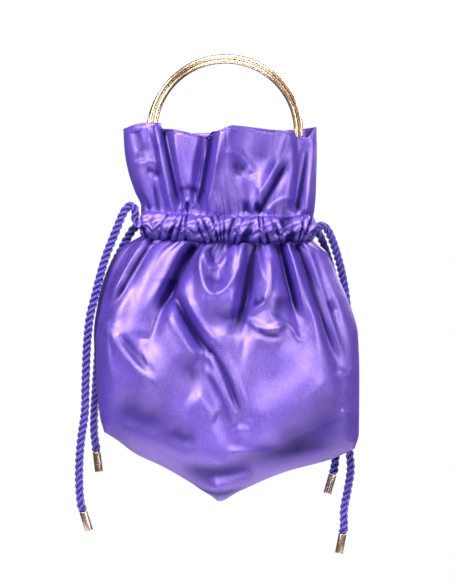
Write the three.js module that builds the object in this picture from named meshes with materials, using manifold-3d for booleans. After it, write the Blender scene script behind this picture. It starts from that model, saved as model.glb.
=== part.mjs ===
// A drawstring reticule: a satin pouch gathered under a ruffled mouth, with twisted cords and a wire handle.
// Millimetres, +Z up, +X to the right, the front faces -Y. The origin is under the top of the handle's arch,
// where the reticule hangs.
import * as THREE from "three";
import Module from "manifold-3d";

const wasm = await Module();
wasm.setup();
const { lerp, clamp, smoothstep } = THREE.MathUtils;

// Handle: round wires bent to an arch, soldered together at the feet
const handleInside = 123; // clear width of the arch
const wireDiameter = 4;
const wireStep = 4.3; // between the middles of two neighbouring wires
const wireSides = 8;
const wireSteps = 26;
const legLength = 54; // from the arch's middle down to the feet's lower ends
const footHeight = 20;
const footWall = 1; // metal left around the wires in a foot
const tabLevels = 4; // steps up a tab, whose outer side follows the seam

// Pouch: one front and one back panel of satin
const cloth = 1.8; // thickness of a panel's softly padded cloth
const gap = 0.3; // left between pieces that touch
const tabClearance = 1; // between a handle tab and the side seam, whose wall slopes and bends
const mouthDrop = 59; // from the hanging point to the mouth's edge at the side seams
const ruffleHeight = 74;
const casingHeight = 22;
const bodyHeight = 185; // from the casing to the lower corners
const pointDrop = 53.5; // from the lower corners to the point
const mouthWidth = 174;
const mouthDepth = 56;
const mouthShift = -5; // how far each section's middle lies to the right of the handle's
const neckWidth = 155;
const neckDepth = 44;
const neckShift = 1.5;
const neckTilt = 4; // how much lower the neck sits at the right seam
const neckSag = 4; // how much lower it sits half way between the seams
const neckFade = 0.5; // share of the body's height by which its rows run level again
const bodyWidth = 239;
const bodyDepth = 100;
const bodyShift = 1;

// Casing: the gathered band that the drawcord runs through
const casingCloth = 1.2;
const puckerDepth = 1.8;
const channelSlack = 0.6; // between the cord and the channel on either side
const casingEnd = 21; // degrees from the side seam to the casing's open end
const casingStations = 30;
const casingArcPoints = 6;

// Drawcords and their tips
const cordDiameter = 7.2;
const cordSides = 8;
const cordSteps = 0.4; // sections of a free cord for each diameter of its length
const hiddenCordSteps = 0.8; // the same inside a casing, which it must follow closely
const tipDiameter = 7.2;
const tipLength = 18;
const tipChamfer = 0.6;
const tipSides = 10;

// The pouch's width and depth down the ruffle, as shares of the way from the neck's size to the mouth's
const ruffleSections = [
  { down: 0, left: 1, right: 1, depth: 1 },
  { down: 0.28, left: 0.92, right: 1.1, depth: 1.25 },
  { down: 0.53, left: 0.7, right: 0.95, depth: 1.15 },
  { down: 0.76, left: 0.34, right: 0.75, depth: 0.75 },
  { down: 0.94, left: 0, right: 0.3, depth: 0.1 },
  { down: 1, left: 0, right: 0, depth: 0 },
];

// The same down the body, as shares of the way from the neck's size to the body's
const bodySections = [
  { down: 0, left: 0, right: 0, depth: 0 },
  { down: 0.063, left: 0.46, right: 0.31, depth: 0.22 },
  { down: 0.175, left: 0.73, right: 0.52, depth: 0.46 },
  { down: 0.306, left: 0.9, right: 0.76, depth: 0.68 },
  { down: 0.48, left: 1, right: 0.97, depth: 0.88 },
  { down: 0.666, left: 0.97, right: 1, depth: 1 },
  { down: 0.924, left: 0.87, right: 0.99, depth: 0.98 },
  { down: 1, left: 0.78, right: 0.9, depth: 0.95 },
];

// The mouth's edge above the side seams' ends, as shares of the ruffle's height, from seam to seam
const frontEdge = [
  { across: -1, rise: 0 },
  { across: -0.74, rise: 0.065 },
  { across: -0.42, rise: 0.03 },
  { across: -0.2, rise: -0.035 },
  { across: -0.04, rise: -0.055 },
  { across: 0.14, rise: 0.015 },
  { across: 0.6, rise: -0.03 },
  { across: 0.9, rise: -0.115 },
  { across: 1, rise: 0.03 },
];
const backEdge = [
  { across: -1, rise: 0 },
  { across: -0.6, rise: -0.04 },
  { across: -0.1, rise: -0.01 },
  { across: 0.3, rise: -0.06 },
  { across: 0.72, rise: 0.005 },
  { across: 1, rise: 0.03 },
];

// The lower edge between the corners, as shares of the drop to the point
const lowerEdge = [
  { across: -1, drop: -0.16 },
  { across: -0.9, drop: -0.03 },
  { across: -0.75, drop: 0.2 },
  { across: -0.52, drop: 0.43 },
  { across: -0.15, drop: 0.9 },
  { across: -0.08, drop: 1 },
  { across: 0.06, drop: 0.85 },
  { across: 0.45, drop: 0.5 },
  { across: 0.8, drop: 0.3 },
  { across: 1, drop: 0.12 },
];

// Folds of the ruffle: where each leaves the neck and meets the edge, as shares of the half width, its width
// likewise, and its height as a share of half the mouth's depth, below zero for a valley
const frontRuffleFolds = [
  { neck: -0.9, edge: -0.86, width: 0.09, height: 0.1 },
  { neck: -0.7, edge: -0.66, width: 0.08, height: -0.32 },
  { neck: -0.5, edge: -0.4, width: 0.15, height: 0.16 },
  { neck: -0.32, edge: -0.09, width: 0.085, height: -0.36 },
  { neck: -0.1, edge: 0.06, width: 0.12, height: 0.2 },
  { neck: 0.16, edge: 0.34, width: 0.15, height: -0.18 },
  { neck: 0.38, edge: 0.68, width: 0.08, height: 0.2 },
  { neck: 0.78, edge: 0.84, width: 0.07, height: -0.26 },
];
const backRuffleFolds = [
  { neck: -0.75, edge: -0.7, width: 0.1, height: 0.15 },
  { neck: -0.55, edge: -0.5, width: 0.09, height: -0.34 },
  { neck: -0.2, edge: -0.18, width: 0.16, height: 0.18 },
  { neck: 0.08, edge: 0.12, width: 0.09, height: -0.36 },
  { neck: 0.4, edge: 0.42, width: 0.16, height: 0.18 },
  { neck: 0.68, edge: 0.7, width: 0.08, height: -0.26 },
];

// Folds of the body: from and to are shares of its height, start and end the places across at those heights,
// and the height is a share of half the body's depth
const frontBodyFolds = [
  { from: 0, to: 0.95, start: -0.76, end: -0.92, width: 0.075, height: 0.13 },
  { from: 0, to: 0.62, start: -0.56, end: -0.74, width: 0.1, height: 0.12 },
  { from: 0, to: 0.58, start: -0.33, end: -0.63, width: 0.08, height: -0.26 },
  { from: 0.2, to: 1, start: -0.45, end: 0.2, width: 0.08, height: -0.17 },
  { from: 0, to: 0.42, start: -0.22, end: -0.1, width: 0.075, height: 0.16 },
  { from: 0, to: 0.28, start: -0.03, end: -0.04, width: 0.075, height: -0.14 },
  { from: 0, to: 0.42, start: 0.15, end: 0, width: 0.075, height: 0.15 },
  { from: 0, to: 0.64, start: 0.28, end: 0.02, width: 0.075, height: -0.22 },
  { from: 0, to: 0.62, start: 0.43, end: 0.34, width: 0.1, height: 0.15 },
  { from: 0, to: 0.56, start: 0.57, end: 0.58, width: 0.07, height: -0.2 },
  { from: 0, to: 0.62, start: 0.66, end: 0.7, width: 0.07, height: 0.1 },
  { from: 0, to: 0.85, start: 0.75, end: 0.9, width: 0.07, height: -0.17 },
];
const backBodyFolds = [
  { from: 0, to: 0.7, start: -0.7, end: -0.88, width: 0.08, height: -0.13 },
  { from: 0, to: 0.55, start: -0.48, end: -0.6, width: 0.11, height: 0.12 },
  { from: 0, to: 0.75, start: -0.26, end: -0.3, width: 0.08, height: -0.18 },
  { from: 0, to: 0.5, start: -0.05, end: 0, width: 0.11, height: 0.12 },
  { from: 0, to: 0.8, start: 0.18, end: 0.28, width: 0.08, height: -0.18 },
  { from: 0, to: 0.55, start: 0.42, end: 0.5, width: 0.1, height: 0.12 },
  { from: 0, to: 0.65, start: 0.64, end: 0.82, width: 0.08, height: -0.13 },
];

// Each panel: which way it faces, how finely it is drawn, and its edge and folds
const frontPanel = {
  name: "front_panel",
  facing: -1,
  columns: 36,
  ruffleRows: 9,
  casingRows: 2,
  bodyRows: 12,
  closingRows: 5,
  edge: frontEdge,
  ruffleFolds: frontRuffleFolds,
  bodyFolds: frontBodyFolds,
};
const backPanel = {
  name: "back_panel",
  facing: 1,
  columns: 26,
  ruffleRows: 7,
  casingRows: 1,
  bodyRows: 9,
  closingRows: 4,
  edge: backEdge,
  ruffleFolds: backRuffleFolds,
  bodyFolds: backBodyFolds,
};
const foldStart = 0.6; // under 1, so that a fold rises sooner than it dies away
const pointFrom = 0.35; // share of the body's height below which the lower edge's slope sets in
const closingFrom = 0.78; // share of the body's height below which the panels curve in to the lower seam
const evenColumns = 0.35; // share of even spacing across a panel; the rest crowds towards the seams

// The three wires of the handle, in steps between their middles: how much wider than the innermost wire each
// arch is, how far its middle is moved to the right and up, and how far back it lies
const wires = [
  { wider: 0, right: 0, up: 0, back: -0.33 },
  { wider: 1, right: 0, up: 0, back: -0.33 },
  { wider: 0.95, right: -0.46, up: -0.45, back: 0.62 },
];

// Free ends of the drawcords, from the casing's open end down to the tip
const cordRoutes = {
  left_front: [
    [-74.9, -12.2, -144.6],
    [-78.2, -10, -144.2],
    [-80.8, -8, -139.6],
    [-81, -7.2, -132.4],
    [-84.2, -7.2, -128],
    [-88.6, -8, -130.4],
    [-93, -8.8, -138],
    [-97, -9.6, -148],
    [-101.8, -10.8, -160],
    [-106.6, -12, -172.6],
    [-112, -13, -191],
    [-117, -14, -211],
    [-120.8, -14, -226],
    [-123.4, -13, -248],
    [-124.6, -12, -270],
    [-125.3, -11, -292],
    [-126, -10, -314],
    [-129.2, -9, -336.5],
    [-131, -8, -358.5],
    [-131, -7, -381],
    [-129.4, -7, -396],
    [-127.6, -7, -402],
  ],
  left_back: [
    [-74.9, 12.2, -144.6],
    [-78.2, 10, -144.3],
    [-83.4, 8.4, -148.6],
    [-89.6, 10.4, -158],
    [-95, 13.4, -168],
    [-101.4, 16.2, -181],
    [-107.4, 18.2, -196],
    [-111.8, 19.6, -213],
    [-114.4, 20, -232],
    [-115.6, 20, -253],
    [-116.8, 19, -274],
    [-117.8, 17, -292],
    [-119, 15, -314],
    [-119, 13, -333],
    [-117.4, 12, -345],
    [-116.8, 12, -350],
  ],
  right_front: [
    [77.9, -12.2, -148.3],
    [81.2, -10, -148.1],
    [86.6, -6, -145.8],
    [91.4, -2, -149.4],
    [96.4, 3, -159],
    [100.8, 8.4, -171.4],
    [104.8, 13.6, -185],
    [108.6, 18.4, -203],
    [111.4, 21.6, -226],
    [112.8, 23.6, -250],
    [113.6, 24.4, -280],
    [113.6, 24, -310],
    [112.8, 22, -332],
    [112.6, 20, -347],
    [113.8, 18, -366],
    [110.6, 17, -387],
    [107.6, 16, -403],
    [107.4, 16, -419],
    [106.4, 16, -424.6],
  ],
  right_back: [
    [77.9, 12.2, -148.3],
    [81.2, 10, -148.1],
    [85.4, 10.4, -154],
    [89.6, 15, -164],
    [94, 20.4, -176.6],
    [98.4, 26, -191.6],
    [101.4, 30.6, -209],
    [102.8, 33.4, -232],
    [103, 34.8, -260],
    [103, 35, -292],
    [102.4, 33.6, -318],
    [101.4, 31, -340],
    [100.9, 29.6, -354],
    [99.4, 28.8, -367],
    [98, 28.4, -372],
  ],
};

const satin = { color: 0x5b3bc4, roughness: 0.38, metalness: 0 };
const casingSatin = { color: 0x4a2fb0, roughness: 0.42, metalness: 0 };
const hiddenCloth = { color: 0x3d2694, roughness: 0.6, metalness: 0 };
const twistedCord = { color: 0x6a55d8, roughness: 0.5, metalness: 0 };
const paleGold = { color: 0xe3c79a, roughness: 0.18, metalness: 1 };

const pouch = new THREE.Group();

// A named mesh with its own material, added to the model.
function addPiece(name, geometry, look) {
  const mesh = new THREE.Mesh(geometry, new THREE.MeshStandardMaterial(look));
  mesh.name = name;
  pouch.add(mesh);
  return mesh;
}

// A column of a table read between its rows, on a smooth curve that never swings past a row.
function readTable(table, place, at, column) {
  const last = table.length - 1;
  const x = clamp(at, table[0][place], table[last][place]);
  let i = 0;
  while (i < last - 1 && table[i + 1][place] < x) i += 1;
  const step = (k) => table[k + 1][place] - table[k][place];
  const slope = (k) => (table[k + 1][column] - table[k][column]) / step(k);
  const tangent = (k) => {
    if (k === 0) return slope(0);
    if (k === last) return slope(last - 1);
    const before = slope(k - 1);
    const after = slope(k);
    return before * after > 0 ? (2 * before * after) / (before + after) : 0;
  };
  const h = step(i);
  const t = (x - table[i][place]) / h;
  const rise = table[i][column] * (1 + 2 * t) * (1 - t) ** 2 + table[i + 1][column] * (3 - 2 * t) * t ** 2;
  return rise + h * (tangent(i) * t * (1 - t) ** 2 - tangent(i + 1) * (1 - t) * t ** 2);
}

// How far along the body a place lies: 0 at the casing, 1 at the lower corners.
function bodyShare(down) {
  return (down - ruffleHeight - casingHeight) / bodyHeight;
}

// The pouch's plan at a distance down from the mouth's edge: left and right ends and half depth.
function sectionAt(down) {
  const inRuffle = down < ruffleHeight;
  const table = inRuffle ? ruffleSections : bodySections;
  const share = inRuffle ? down / ruffleHeight : Math.max(0, bodyShare(down));
  const wide = inRuffle ? mouthWidth / 2 : bodyWidth / 2;
  const deep = inRuffle ? mouthDepth / 2 : bodyDepth / 2;
  const shift = inRuffle ? mouthShift : bodyShift;
  const part = (column) => readTable(table, "down", share, column);
  return {
    left: lerp(neckShift - neckWidth / 2, shift - wide, part("left")),
    right: lerp(neckShift + neckWidth / 2, shift + wide, part("right")),
    halfDepth: lerp(neckDepth / 2, deep, part("depth")),
  };
}

// Height of a point of the panels, across from -1 at the left seam to 1 at the right one.
function heightAt(panel, across, down) {
  const body = bodyShare(down);
  const aboveNeck = clamp(1 - down / ruffleHeight, 0, 1);
  const byNeck = aboveNeck > 0 ? smoothstep(1 - aboveNeck, 0, 1) : 1 - smoothstep(body, 0, neckFade);
  const edge = ruffleHeight * readTable(panel.edge, "across", across, "rise") * aboveNeck;
  const neck = ((neckTilt * (1 + across)) / 2 + neckSag * (1 - across ** 2)) * byNeck;
  const point = pointDrop * readTable(lowerEdge, "across", across, "drop") * smoothstep(body, pointFrom, 1);
  return -mouthDrop - down + edge - neck - point;
}

// How far the folds lift a place of a panel off its plain form.
function foldAt(panel, across, down) {
  let lift = 0;
  if (down < ruffleHeight) {
    const up = 1 - down / ruffleHeight;
    for (const fold of panel.ruffleFolds) {
      const off = (across - lerp(fold.neck, fold.edge, up)) / fold.width;
      const rise = Math.sin((Math.PI / 2) * up ** foldStart);
      lift += (mouthDepth / 2) * fold.height * Math.exp(-(off ** 2)) * rise;
    }
  }
  const body = bodyShare(down);
  for (const fold of panel.bodyFolds) {
    const along = clamp((body - fold.from) / (fold.to - fold.from), 0, 1);
    const off = (across - lerp(fold.start, fold.end, along)) / fold.width;
    const rise = Math.sin(Math.PI * along ** foldStart);
    lift += (bodyDepth / 2) * fold.height * Math.exp(-(off ** 2)) * rise;
  }
  return lift;
}

// A point of a panel's outer face, a distance off the plain form; turn runs from 0 at the left seam to PI.
function panelPoint(panel, turn, down, off = 0) {
  const section = sectionAt(down);
  const across = -Math.cos(turn);
  const halfWidth = (section.right - section.left) / 2;
  const closing = clamp((bodyShare(down) - closingFrom) / (1 - closingFrom), 0, 1);
  const halfDepth = section.halfDepth * Math.sqrt(1 - closing ** 2);
  const out = new THREE.Vector2(across * halfDepth, Math.sin(turn) * halfWidth).normalize();
  const lift = off + foldAt(panel, across, down) * Math.sin(turn) * Math.sqrt(1 - closing ** 2);
  return new THREE.Vector3(
    (section.left + section.right) / 2 + across * halfWidth + out.x * lift,
    panel.facing * (gap / 2 + Math.sin(turn) * halfDepth + out.y * lift),
    heightAt(panel, across, down),
  );
}

// Closed mesh between two grids of points: an outer face and an inner face with the same rows and columns.
// A wrapped grid's last column joins its first one, as round a sleeve.
function shellGeometry(outer, inner, wrapped) {
  const rows = outer.length;
  const columns = outer[0].length;
  const points = [...outer.flat(), ...inner.flat()];
  const outerAt = (r, c) => r * columns + (c % columns);
  const innerAt = (r, c) => rows * columns + outerAt(r, c);
  const index = [];
  const quad = (a, b, c, d) => index.push(a, b, c, a, c, d);
  const lastColumn = wrapped ? columns : columns - 1;
  const end = columns - 1;
  for (let r = 0; r < rows - 1; r += 1) {
    for (let c = 0; c < lastColumn; c += 1) {
      quad(outerAt(r, c), outerAt(r + 1, c), outerAt(r + 1, c + 1), outerAt(r, c + 1));
      quad(innerAt(r, c), innerAt(r, c + 1), innerAt(r + 1, c + 1), innerAt(r + 1, c));
    }
    if (wrapped) continue;
    quad(outerAt(r, 0), innerAt(r, 0), innerAt(r + 1, 0), outerAt(r + 1, 0));
    quad(outerAt(r, end), outerAt(r + 1, end), innerAt(r + 1, end), innerAt(r, end));
  }
  for (let c = 0; c < lastColumn; c += 1) {
    quad(outerAt(0, c), outerAt(0, c + 1), innerAt(0, c + 1), innerAt(0, c));
    quad(outerAt(rows - 1, c), innerAt(rows - 1, c), innerAt(rows - 1, c + 1), outerAt(rows - 1, c + 1));
  }
  const geometry = new THREE.BufferGeometry().setFromPoints(points);
  geometry.setIndex(index);
  if (signedVolume(geometry) < 0) index.reverse();
  geometry.setIndex(index);
  geometry.computeVertexNormals();
  return geometry;
}

// Six times the volume inside an indexed mesh, below zero when its faces point in.
function signedVolume(geometry) {
  const position = geometry.getAttribute("position");
  const corner = (k) => new THREE.Vector3().fromBufferAttribute(position, geometry.index.getX(k));
  let total = 0;
  for (let k = 0; k < geometry.index.count; k += 3) {
    total += corner(k).dot(corner(k + 1).cross(corner(k + 2)));
  }
  return total;
}

// Outward direction at a grid's point, held level at the mouth's edge and in the seam's plane at the seams.
function outwardAt(grid, facing, r, c) {
  const lastRow = grid.length - 1;
  const lastColumn = grid[0].length - 1;
  const across = grid[r][Math.min(c + 1, lastColumn)].clone().sub(grid[r][Math.max(c - 1, 0)]);
  const down = grid[Math.min(r + 1, lastRow)][c].clone().sub(grid[Math.max(r - 1, 0)][c]);
  const out = down.cross(across).multiplyScalar(-facing);
  if (c === 0 || c === lastColumn || r === lastRow) out.y = 0;
  if (r === 0) out.z = 0;
  return out.normalize();
}

// Distances down from the mouth's edge at which a panel has its rows.
function rowsOf(panel) {
  const rows = [];
  for (let i = 0; i < panel.ruffleRows; i += 1) rows.push((ruffleHeight * i) / panel.ruffleRows);
  for (let i = 0; i < panel.casingRows; i += 1) {
    rows.push(ruffleHeight + (casingHeight * i) / panel.casingRows);
  }
  const share = [];
  for (let i = 0; i < panel.bodyRows; i += 1) share.push((closingFrom * i) / panel.bodyRows);
  for (let i = 0; i <= panel.closingRows; i += 1) {
    share.push(lerp(closingFrom, 1, Math.sin((Math.PI / 2) * (i / panel.closingRows))));
  }
  return [...rows, ...share.map((part) => ruffleHeight + casingHeight + bodyHeight * part)];
}

// Points of a panel's outer face, row by row from the mouth's edge down.
function panelGrid(panel) {
  return rowsOf(panel).map((down) => {
    const row = [];
    for (let c = 0; c <= panel.columns; c += 1) {
      const even = c / panel.columns;
      const across = lerp(-Math.cos(Math.PI * even), 2 * even - 1, evenColumns);
      row.push(panelPoint(panel, Math.acos(-across), down));
    }
    return row;
  });
}

// A panel: its outer face with the folds, and its inner face behind it along the plain form's directions, so
// that the two stay apart in the steepest folds.
function panelGeometry(panel) {
  const outer = panelGrid(panel);
  const plain = panelGrid({ ...panel, ruffleFolds: [], bodyFolds: [] });
  const inner = outer.map((row, r) =>
    row.map((point, c) => point.clone().addScaledVector(outwardAt(plain, panel.facing, r, c), -cloth)),
  );
  return shellGeometry(outer, inner, false);
}

// The D-shaped section of a casing at one place round the neck: its flat side lies on the panel.
function casingRing(panel, turn, bulge, inset) {
  const middle = ruffleHeight + casingHeight / 2;
  const half = casingHeight / 2 - inset;
  const ring = [];
  for (let k = 0; k < casingArcPoints; k += 1) {
    const swing = Math.PI * (k / (casingArcPoints - 1));
    const off = gap + inset + (bulge - 2 * inset) * Math.sin(swing);
    ring.push(panelPoint(panel, turn, middle - half * Math.cos(swing), off));
  }
  ring.push(panelPoint(panel, turn, middle, gap + inset));
  return ring;
}

const channelDepth = cordDiameter + 2 * channelSlack;
const casingBulge = channelDepth + 2 * casingCloth;

// Places round the neck from one end of a casing to the other.
function casingTurns(count) {
  const end = THREE.MathUtils.degToRad(casingEnd);
  return Array.from({ length: count + 1 }, (_, i) => lerp(end, Math.PI - end, i / count));
}

function casingGeometry(panel) {
  const outer = [];
  const inner = [];
  casingTurns(casingStations).forEach((turn, i) => {
    const bulge = casingBulge + (i % 2) * puckerDepth;
    outer.push(casingRing(panel, turn, bulge, 0));
    inner.push(casingRing(panel, turn, bulge, casingCloth));
  });
  return shellGeometry(outer, inner, true);
}

// A round section with a few sides.
function roundShape(diameter, sides) {
  const points = Array.from({ length: sides }, (_, i) => {
    const swing = (2 * Math.PI * i) / sides;
    return new THREE.Vector2(Math.cos(swing), Math.sin(swing)).multiplyScalar(diameter / 2);
  });
  return new THREE.Shape(points);
}

// A solid tube along a curve.
function tubeGeometry(curve, diameter, sides, steps) {
  return new THREE.ExtrudeGeometry(roundShape(diameter, sides), { extrudePath: curve, steps });
}

function cordGeometry(curve, stepsPerDiameter = cordSteps) {
  const steps = Math.round((curve.getLength() * stepsPerDiameter) / cordDiameter);
  return tubeGeometry(curve, cordDiameter, cordSides, steps);
}

// The stretch of a drawcord that runs inside its casing.
function hiddenCordCurve(panel) {
  const middle = ruffleHeight + casingHeight / 2;
  const off = gap + casingCloth + channelDepth / 2;
  const points = casingTurns(casingStations).map((turn) => panelPoint(panel, turn, middle, off));
  return new THREE.CatmullRomCurve3(points);
}

// A cord's metal tip: a capped tube standing on the origin, then turned along the cord's end.
function addTip(name, curve) {
  const radius = tipDiameter / 2;
  const profile = [
    [0, 0],
    [radius - tipChamfer, 0],
    [radius, tipChamfer],
    [radius, tipLength - tipChamfer],
    [radius - tipChamfer, tipLength],
    [0, tipLength],
  ].map(([x, y]) => new THREE.Vector2(x, y));
  const tip = addPiece(name, new THREE.LatheGeometry(profile, tipSides), paleGold);
  const along = curve.getTangentAt(1);
  tip.quaternion.setFromUnitVectors(new THREE.Vector3(0, 1, 0), along);
  tip.position.copy(curve.getPointAt(1)).addScaledVector(along, gap);
}

// One wire of the handle: up the left leg, round the arch and down the right leg.
class WireCurve extends THREE.Curve {
  constructor(wire) {
    super();
    this.radius = handleInside / 2 + wireDiameter / 2 + wire.wider * wireStep;
    this.middle = new THREE.Vector3(wire.right, wire.back, wire.up).multiplyScalar(wireStep);
    this.middle.z -= handleInside / 2;
    this.leg = this.middle.z + handleInside / 2 + legLength - footHeight / 2;
  }

  getPoint(t) {
    const arch = Math.PI * this.radius;
    const along = t * (arch + 2 * this.leg) - this.leg;
    const swing = Math.PI * (1 - clamp(along / arch, 0, 1));
    const below = Math.max(0, -along, along - arch);
    const point = new THREE.Vector3(Math.cos(swing), 0, Math.sin(swing)).multiplyScalar(this.radius);
    point.z -= below;
    return point.add(this.middle);
  }
}

// Plan of a foot: the box round the wires' ends on one side, from their own places.
function footBox(side) {
  const reach = wireDiameter / 2 + footWall;
  const box = new THREE.Box2();
  for (const wire of wires) {
    const curve = new WireCurve(wire);
    const end = new THREE.Vector2(side * curve.radius + curve.middle.x, curve.middle.y);
    box.expandByPoint(end.clone().addScalar(reach));
    box.expandByPoint(end.clone().addScalar(-reach));
  }
  return box;
}

const footBottom = -handleInside / 2 - legLength;

function footGeometry(side) {
  const { min, max } = footBox(side);
  const geometry = new THREE.BoxGeometry(max.x - min.x, max.y - min.y, footHeight);
  return geometry.translate((min.x + max.x) / 2, (min.y + max.y) / 2, footBottom + footHeight / 2);
}

// A geometry as a solid for joining.
function solidOf(geometry) {
  const source = geometry.index ? geometry.toNonIndexed() : geometry;
  const position = source.getAttribute("position");
  const seen = new Map();
  const vertProperties = [];
  const triVerts = [];
  for (let i = 0; i < position.count; i += 1) {
    const corner = [position.getX(i), position.getY(i), position.getZ(i)];
    const key = corner.map((value) => value.toFixed(4)).join();
    if (!seen.has(key)) {
      seen.set(key, seen.size);
      vertProperties.push(...corner);
    }
    triVerts.push(seen.get(key));
  }
  return new wasm.Manifold(
    new wasm.Mesh({
      numProp: 3,
      vertProperties: new Float32Array(vertProperties),
      triVerts: new Uint32Array(triVerts),
    }),
  );
}

// A joined solid back as a geometry.
function geometryOf(solid) {
  const { numProp, vertProperties, triVerts } = solid.getMesh();
  const geometry = new THREE.BufferGeometry();
  const position = new Float32Array((vertProperties.length / numProp) * 3);
  for (let i = 0; i * numProp < vertProperties.length; i += 1) {
    position.set(vertProperties.subarray(i * numProp, i * numProp + 3), i * 3);
  }
  geometry.setAttribute("position", new THREE.BufferAttribute(position, 3));
  geometry.setIndex([...triVerts]);
  geometry.computeVertexNormals();
  return geometry;
}

function handleGeometry() {
  let handle = solidOf(footGeometry(-1)).add(solidOf(footGeometry(1)));
  for (const wire of wires) {
    handle = handle.add(solidOf(tubeGeometry(new WireCurve(wire), wireDiameter, wireSides, wireSteps)));
  }
  return geometryOf(handle);
}

// A cloth tab that holds a foot: a sleeve round it whose outer side reaches the side seam's inner face.
function tabGeometry(side) {
  const { min, max } = footBox(side);
  const nearX = side > 0 ? min.x : max.x;
  const farX = side > 0 ? max.x : min.x;
  const wall = gap + cloth;
  const seamHalf = cloth; // two layers run from the sleeve into the seam
  const outer = [];
  const inner = [];
  for (let i = 0; i <= tabLevels; i += 1) {
    const z = footBottom + (footHeight * i) / tabLevels;
    const section = sectionAt(-mouthDrop - z);
    const middle = (section.left + section.right) / 2;
    const inset = cloth + tabClearance;
    const halfWidth = (section.right - section.left) / 2 - inset;
    const seam = (y) => middle + side * halfWidth * Math.sqrt(1 - (y / (section.halfDepth - inset)) ** 2);
    const point = (x, y) => new THREE.Vector3(x, y, z);
    outer.push([
      point(nearX - side * wall, min.y - wall),
      point(farX + side * wall, min.y - wall),
      point(seam(-seamHalf), -seamHalf),
      point(seam(0), 0),
      point(seam(seamHalf), seamHalf),
      point(farX + side * wall, max.y + wall),
      point(nearX - side * wall, max.y + wall),
      point(nearX - side * wall, 0),
    ]);
    inner.push([
      point(nearX - side * gap, min.y - gap),
      point(farX + side * gap, min.y - gap),
      point(farX + side * gap, -seamHalf),
      point(farX + side * gap, 0),
      point(farX + side * gap, seamHalf),
      point(farX + side * gap, max.y + gap),
      point(nearX - side * gap, max.y + gap),
      point(nearX - side * gap, 0),
    ]);
  }
  return shellGeometry(outer, inner, true);
}

addPiece(frontPanel.name, panelGeometry(frontPanel), satin);
addPiece(backPanel.name, panelGeometry(backPanel), satin);
addPiece("front_casing", casingGeometry(frontPanel), casingSatin);
addPiece("back_casing", casingGeometry(backPanel), casingSatin);
addPiece("handle", handleGeometry(), paleGold);
addPiece("left_handle_tab", tabGeometry(-1), hiddenCloth);
addPiece("right_handle_tab", tabGeometry(1), hiddenCloth);
addPiece("drawcord_in_front_casing", cordGeometry(hiddenCordCurve(frontPanel), hiddenCordSteps), twistedCord);
addPiece("drawcord_in_back_casing", cordGeometry(hiddenCordCurve(backPanel), hiddenCordSteps), twistedCord);
for (const [place, route] of Object.entries(cordRoutes)) {
  const curve = new THREE.CatmullRomCurve3(route.map((point) => new THREE.Vector3(...point)));
  addPiece("drawcord_" + place, cordGeometry(curve), twistedCord);
  addTip("cord_tip_" + place, curve);
}

export default pouch;
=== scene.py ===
# Satin drawstring reticule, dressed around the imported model. Metres, +Z up, the front faces -Y.
import math

import bmesh
import bpy
import numpy as np
from mathutils import Matrix, Vector


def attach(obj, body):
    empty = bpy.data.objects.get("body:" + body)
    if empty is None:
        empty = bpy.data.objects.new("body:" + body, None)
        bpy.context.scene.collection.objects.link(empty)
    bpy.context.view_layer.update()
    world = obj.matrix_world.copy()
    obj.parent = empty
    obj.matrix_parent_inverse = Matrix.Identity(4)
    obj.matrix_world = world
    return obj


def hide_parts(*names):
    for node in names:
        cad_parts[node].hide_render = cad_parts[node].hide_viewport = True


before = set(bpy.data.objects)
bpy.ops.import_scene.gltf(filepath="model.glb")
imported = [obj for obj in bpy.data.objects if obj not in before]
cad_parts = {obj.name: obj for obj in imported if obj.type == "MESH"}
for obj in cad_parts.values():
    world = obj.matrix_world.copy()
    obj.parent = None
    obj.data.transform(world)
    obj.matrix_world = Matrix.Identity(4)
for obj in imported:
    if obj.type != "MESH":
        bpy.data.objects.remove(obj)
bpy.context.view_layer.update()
mm = 0.001
body = "root"

# camera: level, straight on to the front

camera = {
    "distance": 1.8,  # from the pouch's middle plane
    "aim": (0.00045, -0.2054),  # x and z at the picture's middle
    "viewHeight": 0.5256,  # what the picture shows at the middle plane
    "sensor": 36.0,
    "reach": 20,
}


def makeCamera():
    data = bpy.data.cameras.new("camera")
    data.sensor_width = camera["sensor"]
    data.lens = camera["sensor"] * camera["distance"] / camera["viewHeight"]
    data.clip_end = camera["reach"]
    eye = bpy.data.objects.new("camera", data)
    bpy.context.scene.collection.objects.link(eye)
    x, z = camera["aim"]
    eye.location = (x, -camera["distance"], z)
    eye.rotation_euler = (math.radians(90), 0, 0)
    bpy.context.scene.camera = eye


makeCamera()
print("camera ready")

# small tools for tables and meshes

sameSpot = 1e-6  # vertices nearer than this are joined, in metres


def table(columns, *rows):  # rows of numbers under named columns
    return dict(zip(columns.split(), np.array(rows, float).T))


def rowsOf(columns):  # a table's rows, one dictionary each
    return [dict(zip(columns, values)) for values in zip(*columns.values())]


def smoothstep(x, low, high):
    t = np.clip((x - low) / (high - low), 0, 1)
    return t * t * (3 - 2 * t)


def mix(a, b, t):
    return a + (b - a) * t


def readTable(rows, at, column):  # a smooth curve through a column that never swings past a row
    x, y = rows[next(iter(rows))], rows[column]
    at = np.clip(at, x[0], x[-1])
    step = np.diff(x)
    slope = np.diff(y) / step
    before, after = slope[:-1], slope[1:]
    product = before * after
    safe = np.where(product > 0, before + after, 1)
    tangent = np.concatenate([slope[:1], np.where(product > 0, 2 * product / safe, 0), slope[-1:]])
    i = np.clip(np.searchsorted(x, at, side="right") - 1, 0, len(x) - 2)
    t = (at - x[i]) / step[i]
    curve = y[i] * (1 + 2 * t) * (1 - t) ** 2 + y[i + 1] * (3 - 2 * t) * t**2
    return curve + step[i] * (tangent[i] * t * (1 - t) ** 2 - tangent[i + 1] * (1 - t) * t**2)


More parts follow.
